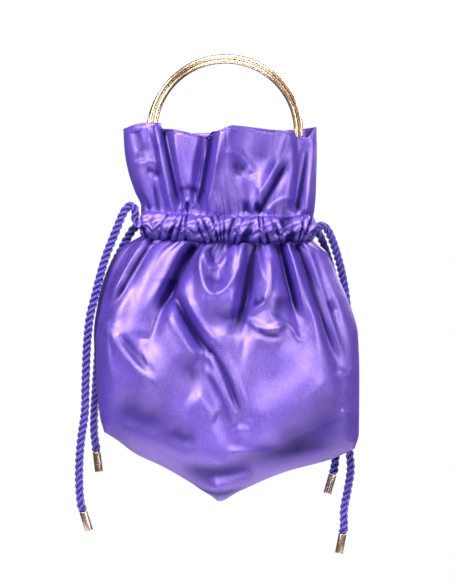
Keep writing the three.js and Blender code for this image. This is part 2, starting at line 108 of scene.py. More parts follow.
def meshFrom(bm, name):
    mesh = bpy.data.meshes.new(name)
    bm.to_mesh(mesh)
    bm.free()
    return mesh


def gridMesh(name, across, along, walls=False):  # x and y run -1..1; z is 0 outside and not 0 inside
    bm = bmesh.new()
    bm.loops.layers.uv.new("UVMap")
    bmesh.ops.create_grid(bm, x_segments=across, y_segments=along, size=1, calc_uvs=True)
    if walls:
        bmesh.ops.solidify(bm, geom=bm.faces[:], thickness=1)
    return meshFrom(bm, name)


def coordinates(mesh):
    co = np.empty(len(mesh.vertices) * 3, np.float32)
    mesh.vertices.foreach_get("co", co)
    return co.reshape(-1, 3).astype(float)


def moveVertices(mesh, points, attribute, values):  # and stores a value at each, for the material
    mesh.vertices.foreach_set("co", points.astype(np.float32).ravel())
    mesh.attributes.new(attribute, "FLOAT", "POINT").data.foreach_set("value", values.astype(np.float32))
    mesh.update()


def addPiece(name, mesh, material, nodes, smooth=True):
    bm = bmesh.new()
    bm.from_mesh(mesh)
    if bm.calc_volume(signed=True) < 0:
        mesh.flip_normals()
    bm.free()
    mesh.polygons.foreach_set("use_smooth", [smooth] * len(mesh.polygons))
    mesh.materials.append(material)
    piece = bpy.data.objects.new(name, mesh)
    bpy.context.scene.collection.objects.link(piece)
    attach(piece, body)
    if nodes:
        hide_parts(*nodes)
    return piece


def editMesh(mesh, edit):  # changes a finished mesh with bmesh
    bm = bmesh.new()
    bm.from_mesh(mesh)
    bmesh.ops.remove_doubles(bm, verts=bm.verts, dist=sameSpot)
    edit(bm)
    bm.to_mesh(mesh)
    bm.free()


def closeEnds(bm):
    rims = [edge for edge in bm.edges if edge.is_boundary]
    if rims:
        bmesh.ops.holes_fill(bm, edges=rims, sides=0)


# shader building: sockets that Python can calculate with


class Flow:
    def __init__(self, finish, socket):
        self.finish, self.socket = finish, socket

    def maths(self, operation, a, b=0.0):
        return self.finish.add("ShaderNodeMath", {"operation": operation}, {0: a, 1: b})

    def __add__(self, other):
        return self.maths("ADD", self, other)

    def __sub__(self, other):
        return self.maths("SUBTRACT", self, other)

    def __rsub__(self, other):
        return self.maths("SUBTRACT", other, self)

    def __mul__(self, other):
        return self.maths("MULTIPLY", self, other)

    __radd__, __rmul__ = __add__, __mul__


class Finish:  # one material: its nodes, its surface shader and its output
    def __init__(self, name, surface):
        self.material = bpy.data.materials.new(name)
        self.material.use_nodes = True
        self.tree = self.material.node_tree
        self.tree.nodes.clear()
        self.surface = self.shader(surface)
        self.output = self.tree.nodes.new("ShaderNodeOutputMaterial")
        self.tree.links.new(self.surface.outputs["BSDF"], self.output.inputs["Surface"])

    def shader(self, inputs):
        node = self.tree.nodes.new("ShaderNodeBsdfPrincipled")
        for socket, value in inputs.items():
            self.join(value, node.inputs[socket])
        return node

    def add(self, kind, settings=None, inputs=None, output=0):
        node = self.tree.nodes.new(kind)
        for name, value in (settings or {}).items():
            setattr(node, name, value)
        for name, value in (inputs or {}).items():
            self.join(value, node.inputs[name])
        return Flow(self, node.outputs[output])

    def join(self, value, socket):
        if isinstance(value, Flow):
            self.tree.links.new(value.socket, socket)
        else:
            socket.default_value = value

    def set(self, socket, flow):
        self.join(flow, self.surface.inputs[socket])

    def shade(self, factor, color):  # painted shade: a dull dark surface mixed in where the factor is 1
        dullShade = self.shader({"Base Color": color, "Roughness": 0.85, "Specular IOR Level": 0.1})
        either = self.tree.nodes.new("ShaderNodeMixShader")
        self.join(factor, either.inputs[0])
        self.tree.links.new(self.surface.outputs["BSDF"], either.inputs[1])
        self.tree.links.new(dullShade.outputs["BSDF"], either.inputs[2])
        self.tree.links.new(either.outputs[0], self.output.inputs["Surface"])

    def object(self, scale=(1, 1, 1), turn=(0, 0, 0)):
        place = self.add("ShaderNodeTexCoord", output=3)
        return self.add("ShaderNodeMapping", None, {"Vector": place, "Scale": scale, "Rotation": turn})

    def uv(self, scale=(1, 1, 1)):
        place = self.add("ShaderNodeTexCoord", output=2)
        return self.add("ShaderNodeMapping", None, {"Vector": place, "Scale": scale})

    def split(self, vector, axis):
        return self.add("ShaderNodeSeparateXYZ", None, {0: vector}, "XYZ".index(axis))

    def attribute(self, name):
        return self.add("ShaderNodeAttribute", {"attribute_name": name}, None, 2)

    def noise(self, vector, scale, detail=2.0, roughness=0.5):
        inputs = {"Vector": vector, "Scale": scale, "Detail": detail, "Roughness": roughness}
        return self.add("ShaderNodeTexNoise", None, inputs)

    def clamp(self, value, low, high, toLow=0.0, toHigh=1.0):
        inputs = {0: value, 1: low, 2: high, 3: toLow, 4: toHigh}
        return self.add("ShaderNodeMapRange", {"interpolation_type": "SMOOTHSTEP"}, inputs)

    def blend(self, factor, a, b):
        return self.add("ShaderNodeMix", {"data_type": "RGBA"}, {0: factor, 6: a, 7: b}, 2)

    def bump(self, height, distance, strength=1.0, under=None):
        inputs = {"Height": height, "Distance": distance, "Strength": strength}
        if under:
            inputs["Normal"] = under
        return self.add("ShaderNodeBump", None, inputs)


def tone(r, g, b):  # a colour from its 0..255 screen values
    values = [c / 255 for c in (r, g, b)]
    return [c / 12.92 if c <= 0.04045 else ((c + 0.055) / 1.055) ** 2.4 for c in values] + [1]


# finishes; the sizes of noises are per metre, and each "rough" is the least and most roughness

satinFinish = {
    "surface": {
        "Metallic": 0.25, "IOR": 2.0, "Specular IOR Level": 0.95, "Specular Tint": tone(245, 214, 252),
        "Sheen Weight": 0.05, "Sheen Roughness": 0.4, "Sheen Tint": tone(205, 180, 255),
    },
    # painted shade: the colour put on cloth in folds and between gathers
    "paintedShade": tone(32, 14, 110),
    "gap": tone(18, 6, 72),  # painted shade, nearly black, for the narrow bottoms of folds
    "dullShade": 0.94,  # how far the deepest painted shade swaps the satin for a dull dark surface
    "deep": tone(44, 24, 124),
    "base": tone(66, 40, 162),
    "pale": tone(108, 80, 204),
    "rough": (0.4, 0.54),
    "thread": 0.00042,  # spacing of the weave's floats
    "threadRelief": 0.0002,
    "cloud": 26,
    "speck": 950,
    "wear": 90,
    "buckle": 120,
    "buckleRelief": 0.0006,
}


def satinMaterial(name, size, cloth=satinFinish):  # size is the piece's real width and length, for the weave
    finish = Finish(name, cloth["surface"])
    place = finish.object()
    cloud = finish.noise(place, cloth["cloud"], 3, 0.55)
    color = finish.blend(finish.clamp(cloud, 0.3, 0.72), cloth["deep"], cloth["base"])
    weaveX, weaveY = (length / cloth["thread"] for length in size)
    threads = finish.noise(finish.uv((weaveX * 0.4, weaveY, 1)), 0.6, 2, 0.6)
    slubs = finish.noise(finish.uv((weaveX, weaveY * 0.3, 1)), 0.3, 2, 0.5)
    grain = threads * 0.6 + slubs * 0.4
    speck = finish.noise(place, cloth["speck"], 2, 0.7)
    color = finish.blend(finish.clamp(grain * 0.5 + speck * 0.5, 0.42, 0.6, 0, 0.6), color, cloth["pale"])
    # painted shade: the attribute darkens the colour in folds and between gathers, towards nearly black, and
    # mixes in a dull dark surface
    paintedShade = finish.attribute("paintedShade")
    shade = finish.blend(finish.clamp(paintedShade, 0.55, 1), cloth["paintedShade"], cloth["gap"])
    finish.set("Base Color", finish.blend(paintedShade, color, shade))
    finish.shade(paintedShade * cloth["dullShade"], shade)
    wear = finish.noise(place, cloth["wear"], 3, 0.6)
    finish.set("Roughness", finish.clamp(wear * 0.5 + grain * 0.5, 0.3, 0.7, *cloth["rough"]))
    buckle = finish.bump(finish.noise(place, cloth["buckle"], 3, 0.5), cloth["buckleRelief"], 0.3)
    finish.set("Normal", finish.bump(grain * 0.5 + speck, cloth["threadRelief"], 0.7, buckle))
    return finish.material


ropeFinish = {
    "surface": {
        "Metallic": 0.15, "Sheen Weight": 0.12, "Sheen Roughness": 0.3, "Sheen Tint": tone(190, 180, 255),
    },
    # painted shade in the grooves between strands
    "groove": tone(14, 4, 66),
    "strand": tone(58, 42, 156),
    # painted sheen: the paler tone on the crowns of the threads
    "thread": tone(124, 108, 220),
    "threadsAround": 66,
    "threadRelief": 0.00016,
    "fleck": 700,
    "rough": (0.36, 0.5),
}


def ropeMaterial(name, cord):
    finish = Finish(name, cord["surface"])
    spot = finish.uv()
    turned = (finish.split(spot, "X") + finish.split(spot, "Y")) * (2 * math.pi * cord["threadsAround"])
    threads = finish.add("ShaderNodeMath", {"operation": "SINE"}, {0: turned}) * 0.5 + 0.5
    fleck = finish.noise(finish.object(), cord["fleck"], 2, 0.6)
    # the paler thread tone along the threads is painted sheen; the flecks are random tone
    threadSheenAndFleck = threads * 0.55 + finish.clamp(fleck, 0.4, 0.7, 0, 0.35)
    color = finish.blend(threadSheenAndFleck, cord["strand"], cord["thread"])
    # painted shade: the groove attribute darkens the colour between the strands
    finish.set("Base Color", finish.blend(finish.attribute("groove"), color, cord["groove"]))
    finish.set("Roughness", finish.clamp(fleck, 0.3, 0.7, *cord["rough"]))
    finish.set("Normal", finish.bump(threads + fleck * 0.5, cord["threadRelief"], 0.8))
    return finish.material


goldFinish = {
    "base": tone(238, 216, 188),
    "tarnish": tone(202, 166, 126),
    "rough": (0.2, 0.26),
    "patch": 14,
    "scratch": (500, 500, 60),
    "scratchTurn": (0.3, 0.2, 0),
    "scratchRelief": 0.00001,
}
tipFinish = {**goldFinish, "base": tone(226, 204, 180), "tarnish": tone(198, 170, 144), "rough": (0.26, 0.32)}


def goldMaterial(name, gold):
    finish = Finish(name, {"Metallic": 1.0})
    patch = finish.noise(finish.object(), gold["patch"], 2, 0.5)
    finish.set("Base Color", finish.blend(finish.clamp(patch, 0.35, 0.75), gold["base"], gold["tarnish"]))
    scratches = finish.noise(finish.object(gold["scratch"], gold["scratchTurn"]), 1.0, 2, 0.6)
    finish.set("Roughness", finish.clamp(scratches, 0.35, 0.75, *gold["rough"]))
    finish.set("Normal", finish.bump(scratches, gold["scratchRelief"], 0.05))
    return finish.material


threadFinish = {
    "surface": {"Sheen Weight": 0.3, "Metallic": 0.1},
    "deep": tone(96, 62, 206),
    "pale": tone(150, 124, 240),
    "rough": (0.35, 0.5),
    "twist": 1800,
    "relief": 0.0001,
}


def threadMaterial(name, yarn):
    finish = Finish(name, yarn["surface"])
    twist = finish.noise(finish.object((1, 1, 3)), yarn["twist"], 2, 0.6)
    finish.set("Base Color", finish.blend(twist, yarn["deep"], yarn["pale"]))
    finish.set("Roughness", finish.clamp(twist, 0.3, 0.7, *yarn["rough"]))
    finish.set("Normal", finish.bump(twist, yarn["relief"], 0.6))
    return finish.material


rope = ropeMaterial("twistedCord", ropeFinish)
gold = goldMaterial("paleGold", goldFinish)
tipGold = goldMaterial("tipGold", tipFinish)
thread = threadMaterial("sewingThread", threadFinish)
print("finishes ready")

# drawcords: three twisted strands each, from the casing's open end down to a metal tip

cords = {
    "strands": 3,
    "diameter": 7.2,
    "crown": 7.8,  # over the crowns of the strands
    "pitch": 17.2,  # length of one full turn of the strands
    "ringStep": 0.75,
    "aroundStrand": 14,
    "grooveShadeEdge": 1.1,  # over 1 keeps the painted shade of a groove narrow
    "bindLength": 3.0,  # the bound end just above a tip
    "bindSwell": 0.07,
    "bindPinch": 0.8,
    "gap": 0.3,
    "curveSteps": 24,  # between two points of a route
    "pathShare": 4,  # every how many rings a point of the path is stated
}
cordRoutes = {  # points in millimetres, from the casing down
    "left_front": [
        (-74.9, -12.2, -144.6), (-78.2, -10, -144.2), (-80.8, -8, -139.6), (-81, -7.2, -132.4),
        (-84.2, -7.2, -128), (-88.6, -8, -130.4), (-93, -8.8, -138), (-97, -9.6, -148),
        (-101.8, -10.8, -160), (-106.6, -12, -172.6), (-112, -13, -191), (-117, -14, -211),
        (-120.8, -14, -226), (-123.4, -13, -248), (-124.6, -12, -270), (-125.3, -11, -292),
        (-126, -10, -314), (-129.2, -9, -336.5), (-131, -8, -358.5), (-131, -7, -381), (-129.4, -7, -396),
        (-127.6, -7, -402),
    ],
    "left_back": [
        (-74.9, 12.2, -144.6), (-78.2, 10, -144.3), (-83.4, 8.4, -148.6), (-89.6, 10.4, -158),
        (-95, 13.4, -168), (-101.4, 16.2, -181), (-107.4, 18.2, -196), (-111.8, 19.6, -213),
        (-114.4, 20, -232), (-115.6, 20, -253), (-116.8, 19, -274), (-117.8, 17, -292), (-119, 15, -314),
        (-119, 13, -333), (-117.4, 12, -345), (-116.8, 12, -350),
    ],
    "right_front": [
        (77.9, -12.2, -148.3), (81.2, -10, -148.1), (86.6, -6, -145.8), (91.4, -2, -149.4),
        (96.4, 3, -159), (100.8, 8.4, -171.4), (104.8, 13.6, -185), (108.6, 18.4, -203),
        (111.4, 21.6, -226), (112.8, 23.6, -250), (113.6, 24.4, -280), (113.6, 24, -310),
        (112.8, 22, -332), (112.6, 20, -347), (113.8, 18, -366), (110.6, 17, -387), (107.6, 16, -403),
        (107.4, 16, -419), (106.4, 16, -424.6),
    ],
    "right_back": [
        (77.9, 12.2, -148.3), (81.2, 10, -148.1), (85.4, 10.4, -154), (89.6, 15, -164),
        (94, 20.4, -176.6), (98.4, 26, -191.6), (101.4, 30.6, -209), (102.8, 33.4, -232),
        (103, 34.8, -260), (103, 35, -292), (102.4, 33.6, -318), (101.4, 31, -340), (100.9, 29.6, -354),
        (99.4, 28.8, -367), (98, 28.4, -372),
    ],
}
tips = {
    "diameter": 7.2,
    "length": 18.0,
    "edge": 0.5,  # rounding of its two rims
    "edgeSteps": 4,
    "bore": 5.6,  # the mouth that the cord goes into
    "boreDepth": 1.2,
    "steps": 48,
    "sameSpot": 1e-4,
}


def smoothPath(points, step):  # centripetal curve through the points, cut into even steps
    ends = [2 * points[0] - points[1], *points, 2 * points[-1] - points[-2]]
    fine = []
    for a, b, c, d in zip(ends, ends[1:], ends[2:], ends[3:]):
        knots = np.cumsum([0, *(np.linalg.norm(q - p) ** 0.5 for p, q in ((a, b), (b, c), (c, d)))])
        t = np.linspace(knots[1], knots[2], cords["curveSteps"], endpoint=False)[:, None]

        def between(p, q, low, high):
            return p + (q - p) * (t - knots[low]) / (knots[high] - knots[low])

        first, second, third = between(a, b, 0, 1), between(b, c, 1, 2), between(c, d, 2, 3)
        fine.extend(between(between(first, second, 0, 2), between(second, third, 1, 3), 1, 2))
    fine = np.array([*fine, points[-1]])
    run = runOf(fine)
    even = np.linspace(0, run[-1], int(round(run[-1] / step)) + 1)
    return alongRun(even, run, fine), run[-1]


def runOf(points):  # how far along a line of points each lies
    return np.concatenate([[0], np.cumsum(np.linalg.norm(np.diff(points, axis=0), axis=1))])


def alongRun(even, run, points):
    return np.stack([np.interp(even, run, points[:, k]) for k in range(3)], axis=1)


def framesAlong(path):  # directions across a path, turning as little as they can
    tangent = np.gradient(path, axis=0)
    tangent /= np.linalg.norm(tangent, axis=1, keepdims=True)
    side = np.cross(tangent[0], (0, 1, 0))
    sides = []
    for direction in tangent:
        side = side - direction * side.dot(direction)
        side /= np.linalg.norm(side)
        sides.append(side)
    sides = np.array(sides)
    return tangent, sides, np.cross(tangent, sides)


def ropeMesh(name, points):
    path, length = smoothPath(points, cords["ringStep"] * mm)
    rings = len(path) - 1
    tangent, side, across = framesAlong(path)
    mesh = gridMesh(name, cords["strands"] * cords["aroundStrand"], rings)
    x, y = coordinates(mesh).T[:2]
    ring = np.clip(np.round((y + 1) / 2 * rings).astype(int), 0, rings)
    angle = (x + 1) * math.pi
    run = ring / rings * length / mm
    fromCrown = np.abs(angle * cords["strands"] / (2 * math.pi) % 1 - 0.5) * 2  # 0 on a crown, 1 in a groove
    strand = np.cos(fromCrown * math.pi / cords["strands"])  # a round strand, seen from the cord's axis
    # painted shade: how far into a groove a place lies, kept for the material to darken
    groove = np.clip(2 * (1 - strand), 0, 1) ** cords["grooveShadeEdge"]
    left = length / mm - run
    bound = np.exp(-((left - cords["bindLength"]) / cords["bindLength"]) ** 2) * cords["bindSwell"]
    tight = smoothstep(left, 0, cords["bindLength"] * 0.6)
    radius = cords["crown"] / 2 * strand * (1 + bound) * mix(cords["bindPinch"], 1, tight)
    turned = angle + 2 * math.pi * run / cords["pitch"]
    out = side[ring] * np.cos(turned)[:, None] + across[ring] * np.sin(turned)[:, None]
    moveVertices(mesh, path[ring] + out * radius[:, None] * mm, "groove", groove)
    layer = mesh.uv_layers[0].data
    uv = np.empty(len(layer) * 2, np.float32)
    layer.foreach_get("uv", uv)
    uv[1::2] *= length / mm / cords["pitch"]
    layer.foreach_set("uv", uv)
    editMesh(mesh, closeEnds)
    print(name, round(float(length), 4))
    return mesh, float(length), path, tangent[-1]


def tipMesh(name, end, along):
    radius, edge = tips["diameter"] / 2 - tips["edge"], tips["edge"]
    outline = [(0, tips["boreDepth"]), (tips["bore"] / 2, tips["boreDepth"]), (tips["bore"] / 2, 0)]
    for middle, start in ((edge, -90), (tips["length"] - edge, 0)):
        for swing in np.radians(np.linspace(start, start + 90, tips["edgeSteps"] + 1)):
            outline.append((radius + edge * math.cos(swing), middle + edge * math.sin(swing)))
    outline.append((0, tips["length"]))
    bm = bmesh.new()
    verts = [bm.verts.new((x, 0, z)) for x, z in outline]
    edges = [bm.edges.new(pair) for pair in zip(verts, verts[1:])]
    bmesh.ops.spin(
        bm, geom=verts + edges, cent=(0, 0, 0), axis=(0, 0, 1), angle=2 * math.pi, steps=tips["steps"],
        use_merge=True,
    )
    bmesh.ops.remove_doubles(bm, verts=bm.verts, dist=tips["sameSpot"])
    bmesh.ops.recalc_face_normals(bm, faces=bm.faces)
    turn = Vector((0, 0, 1)).rotation_difference(Vector(along)).to_matrix().to_4x4()
    place = Matrix.Translation(Vector(end) + Vector(along) * cords["gap"] * mm) @ turn @ Matrix.Scale(mm, 4)
    bmesh.ops.transform(bm, matrix=place, verts=bm.verts)
    return meshFrom(bm, name)


for place, points in cordRoutes.items():
    points = np.round(np.array(points) * mm, 6)  # in metres, to the micrometre
    mesh, length, path, down = ropeMesh("twistedCord_" + place, points)
    cord = addPiece("twistedCord_" + place, mesh, rope, ["drawcord_" + place])
    tip = tipMesh("tip_" + place, path[-1], down)
    tip = addPiece("tip_" + place, tip, tipGold, ["cord_tip_" + place])

# the pouch's form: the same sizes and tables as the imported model's panels, in millimetres

pouch = {
    "cloth": 1.8,
    "gap": 0.3,
    "seam": 0.04,  # between the two panels
    "mouthDrop": 59,
    "ruffleHeight": 74,
    "casingHeight": 22,
    "bodyHeight": 185,
    "pointDrop": 53.5,
    "mouth": (174, 56, -5),  # width, depth and how far its middle lies to the right
    "neck": (155, 44, 1.5),
    "belly": (239, 100, 1),
    "neckTilt": 4,
    "neckSag": 4,
    "neckFade": 0.5,
    "foldStart": 0.6,
    "pointFrom": 0.35,
    "closingFrom": 0.78,
    "weaveSize": (0.28, 0.35),
    "flat": (0.3, 0.36),  # of one panel, in metres
    "flatArea": 0.092,
    "columnSamples": 1600,  # for spacing the columns by the cloth that folds use up
    "columnRows": 12,
    "columnRange": (4, 0.7),  # from just under the mouth's edge to a share of the body's height
}
ruffleEnd = pouch["ruffleHeight"]
middleOfCasing = ruffleEnd + pouch["casingHeight"] / 2
bodyTop = ruffleEnd + pouch["casingHeight"]
ruffleSections = table(
    "down left right depth",
    (0, 1, 1, 1), (0.28, 0.92, 1.1, 1.25), (0.53, 0.7, 0.95, 1.15), (0.76, 0.34, 0.75, 0.75),
    (0.94, 0, 0.3, 0.1), (1, 0, 0, 0),
)
bodySections = table(
    "down left right depth",
    (0, 0, 0, 0), (0.063, 0.46, 0.31, 0.22), (0.175, 0.73, 0.52, 0.46), (0.306, 0.9, 0.76, 0.68),
    (0.48, 1, 0.97, 0.88), (0.666, 0.97, 1, 1), (0.924, 0.87, 0.99, 0.98), (1, 0.78, 0.9, 0.95),
)
lowerEdge = table(
    "across drop",
    (-1, -0.16), (-0.9, -0.03), (-0.75, 0.2), (-0.52, 0.43), (-0.15, 0.9), (-0.08, 1), (0.06, 0.85),
    (0.45, 0.5), (0.8, 0.3), (1, 0.12),
)
frontPanel = {
    "name": "front_panel",
    "facing": -1,
    "columns": 216,
    "rows": (78, 12, 88, 44),  # ruffle, casing, body, closing
    "edge": table(
        "across rise",
        (-1, 0), (-0.74, 0.065), (-0.42, 0.03), (-0.2, -0.035), (-0.04, -0.055), (0.14, 0.015),
        (0.6, -0.03), (0.9, -0.115), (1, 0.03),
    ),
    "ruffleFolds": table(
        "neck edge width height",
        (-0.9, -0.86, 0.09, 0.1), (-0.7, -0.66, 0.08, -0.32), (-0.5, -0.4, 0.15, 0.16),
        (-0.32, -0.09, 0.085, -0.36), (-0.1, 0.06, 0.12, 0.2), (0.16, 0.34, 0.15, -0.18),
        (0.38, 0.68, 0.08, 0.2), (0.78, 0.84, 0.07, -0.26),
    ),
    "bodyFolds": table(
        "from to start end width height",
        (0, 0.95, -0.76, -0.92, 0.075, 0.13), (0, 0.62, -0.56, -0.74, 0.1, 0.12),
        (0, 0.58, -0.33, -0.63, 0.08, -0.26), (0.2, 1, -0.45, 0.2, 0.08, -0.17),
        (0, 0.42, -0.22, -0.1, 0.075, 0.16), (0, 0.28, -0.03, -0.04, 0.075, -0.14),
        (0, 0.42, 0.15, 0, 0.075, 0.15), (0, 0.64, 0.28, 0.02, 0.075, -0.22),
        (0, 0.62, 0.43, 0.34, 0.1, 0.15), (0, 0.56, 0.57, 0.58, 0.07, -0.2),
        (0, 0.62, 0.66, 0.7, 0.07, 0.1), (0, 0.85, 0.75, 0.9, 0.07, -0.17),
    ),
    "gathers": 22,
    "seed": 0.4,
}
backPanel = {
    "name": "back_panel",
    "facing": 1,
    "columns": 200,
    "rows": (64, 10, 80, 36),
    "edge": table(
        "across rise", (-1, 0), (-0.6, -0.04), (-0.1, -0.01), (0.3, -0.06), (0.72, 0.005), (1, 0.03),
    ),
    "ruffleFolds": table(
        "neck edge width height",
        (-0.75, -0.7, 0.1, 0.15), (-0.55, -0.5, 0.09, -0.34), (-0.2, -0.18, 0.16, 0.18),
        (0.08, 0.12, 0.09, -0.36), (0.4, 0.42, 0.16, 0.18), (0.68, 0.7, 0.08, -0.26),
    ),
    "bodyFolds": table(
        "from to start end width height",
        (0, 0.7, -0.7, -0.88, 0.08, -0.13), (0, 0.55, -0.48, -0.6, 0.11, 0.12),
        (0, 0.75, -0.26, -0.3, 0.08, -0.18), (0, 0.5, -0.05, 0, 0.11, 0.12),
        (0, 0.8, 0.18, 0.28, 0.08, -0.18), (0, 0.55, 0.42, 0.5, 0.1, 0.12),
        (0, 0.65, 0.64, 0.82, 0.08, -0.13),
    ),
    "gathers": 21,
    "seed": 2.1,
}
gatherShape = {
    "ruffleDepth": 2.0,
    "ruffleReach": 9,
    "bodyDepth": 2.4,
    "bodyReach": 15,
    "crease": 0.75,  # under 1 makes the creases sharp and the puffs round
    "level": 0.6,  # of the plain cloth between crease and puff
    "uneven": ((1.7, 5.3, 1), (1.1, 13, 2), (0.6, 29, 5)),  # swing, rate and share of the panel's seed
    "reachVaries": ((0.45, 7.3, 3), (0.25, 17, 0)),
    # painted shade between the gathers near the casing and at the bottoms of deep folds
    "shadeReach": 22,
    "gatherShade": 1.7,
    "foldShade": 0.4,
    "foldDepth": 10,  # of a fold that gets the full painted shade
    "foldNarrow": 2.5,  # over 1 keeps the painted shade to the bottom of a fold
}
hem = {"roll": 0.55, "width": 1.3, "stitch": 2.8, "stitchWidth": 0.7, "dip": 0.35}


def bodyShare(down):
    return (down - bodyTop) / pouch["bodyHeight"]


def sectionAt(down):
    width, depth, shift = pouch["neck"]
    sides = []
    for rows, share, (wide, deep, aside) in (
        (ruffleSections, down / ruffleEnd, pouch["mouth"]),
        (bodySections, bodyShare(down), pouch["belly"]),
    ):
        left = mix(shift - width / 2, aside - wide / 2, readTable(rows, share, "left"))
        right = mix(shift + width / 2, aside + wide / 2, readTable(rows, share, "right"))
        sides.append((left, right, mix(depth / 2, deep / 2, readTable(rows, share, "depth"))))
    inRuffle = down < ruffleEnd
    return [np.where(inRuffle, upper, lower) for upper, lower in zip(*sides)]


def heightAt(panel, across, down):
    share = bodyShare(down)
    above = np.clip(1 - down / ruffleEnd, 0, 1)
    byNeck = np.where(above > 0, smoothstep(1 - above, 0, 1), 1 - smoothstep(share, 0, pouch["neckFade"]))
    edge = ruffleEnd * readTable(panel["edge"], across, "rise") * above
    neck = (pouch["neckTilt"] * (1 + across) / 2 + pouch["neckSag"] * (1 - across**2)) * byNeck
    point = pouch["pointDrop"] * readTable(lowerEdge, across, "drop")
    return -pouch["mouthDrop"] - down + edge - neck - point * smoothstep(share, pouch["pointFrom"], 1)


def foldAt(panel, across, down):
    lift = 0 * across
    up = np.clip(1 - down / ruffleEnd, 0, 1)
    for fold in rowsOf(panel["ruffleFolds"]):
        off = (across - mix(fold["neck"], fold["edge"], up)) / fold["width"]
        rise = np.sin(math.pi / 2 * up ** pouch["foldStart"])
        lift += pouch["mouth"][1] / 2 * fold["height"] * np.exp(-(off**2)) * rise
    share = bodyShare(down)
    for fold in rowsOf(panel["bodyFolds"]):
        along = np.clip((share - fold["from"]) / (fold["to"] - fold["from"]), 0, 1)
        off = (across - mix(fold["start"], fold["end"], along)) / fold["width"]
        rise = np.sin(math.pi * along ** pouch["foldStart"])
        lift += pouch["belly"][1] / 2 * fold["height"] * np.exp(-(off**2)) * rise
    return lift


def waves(rows, across, seed):
    return sum(swing * np.sin(rate * across + part * seed) for swing, rate, part in rows)


def gatherPuff(panel, across):  # round puffs with sharp creases between, from 0 in a crease to 1
    even = math.pi * panel["gathers"] * (across + 1) / 2
    phase = even + waves(gatherShape["uneven"], across, panel["seed"])
    return np.abs(np.sin(phase)) ** gatherShape["crease"]


def gatherAt(panel, across, down):
    puff = gatherPuff(panel, across) - gatherShape["level"]
    vary = 1 + waves(gatherShape["reachVaries"], across, panel["seed"])
    above = np.clip(ruffleEnd - down, 0, None)
    below = np.clip(down - bodyTop, 0, None)
    upper = gatherShape["ruffleDepth"] * np.exp(-above / (gatherShape["ruffleReach"] * vary))
    lower = gatherShape["bodyDepth"] * np.exp(-below / (gatherShape["bodyReach"] * vary))
    return puff * np.where(above > 0, upper, lower)


def hemAt(down):  # the rolled edge of the mouth and the stitched line under it
    roll = hem["roll"] * np.exp(-((down / hem["width"]) ** 2))
    return roll - hem["dip"] * np.exp(-(((down - hem["stitch"]) / hem["stitchWidth"]) ** 2))


def panelPoint(panel, across, down, off=0, fine=1):
    left, right, depth = sectionAt(down)
    halfWidth = (right - left) / 2
    closing = np.clip((bodyShare(down) - pouch["closingFrom"]) / (1 - pouch["closingFrom"]), 0, 1)
    opening = np.sqrt(1 - closing**2)
    roundness = np.sqrt(np.clip(1 - across**2, 0, 1))
    halfDepth = depth * opening
    outX, outY = across * halfDepth, roundness * halfWidth
    size = np.maximum(np.hypot(outX, outY), 1e-9)
    fold = foldAt(panel, across, down) + fine * (gatherAt(panel, across, down) + hemAt(down))
    lift = off + fold * roundness * opening
    x = (left + right) / 2 + across * halfWidth + outX / size * lift
    y = panel["facing"] * (pouch["seam"] / 2 + roundness * halfDepth + outY / size * lift)
    return np.stack([x, y, heightAt(panel, across, down)], axis=1)


# creases by their places in the picture; widths and lifts are in millimetres, fades are shares of the length.
# Left and right are those of one who follows a crease: going down the picture, left is the viewer's right.

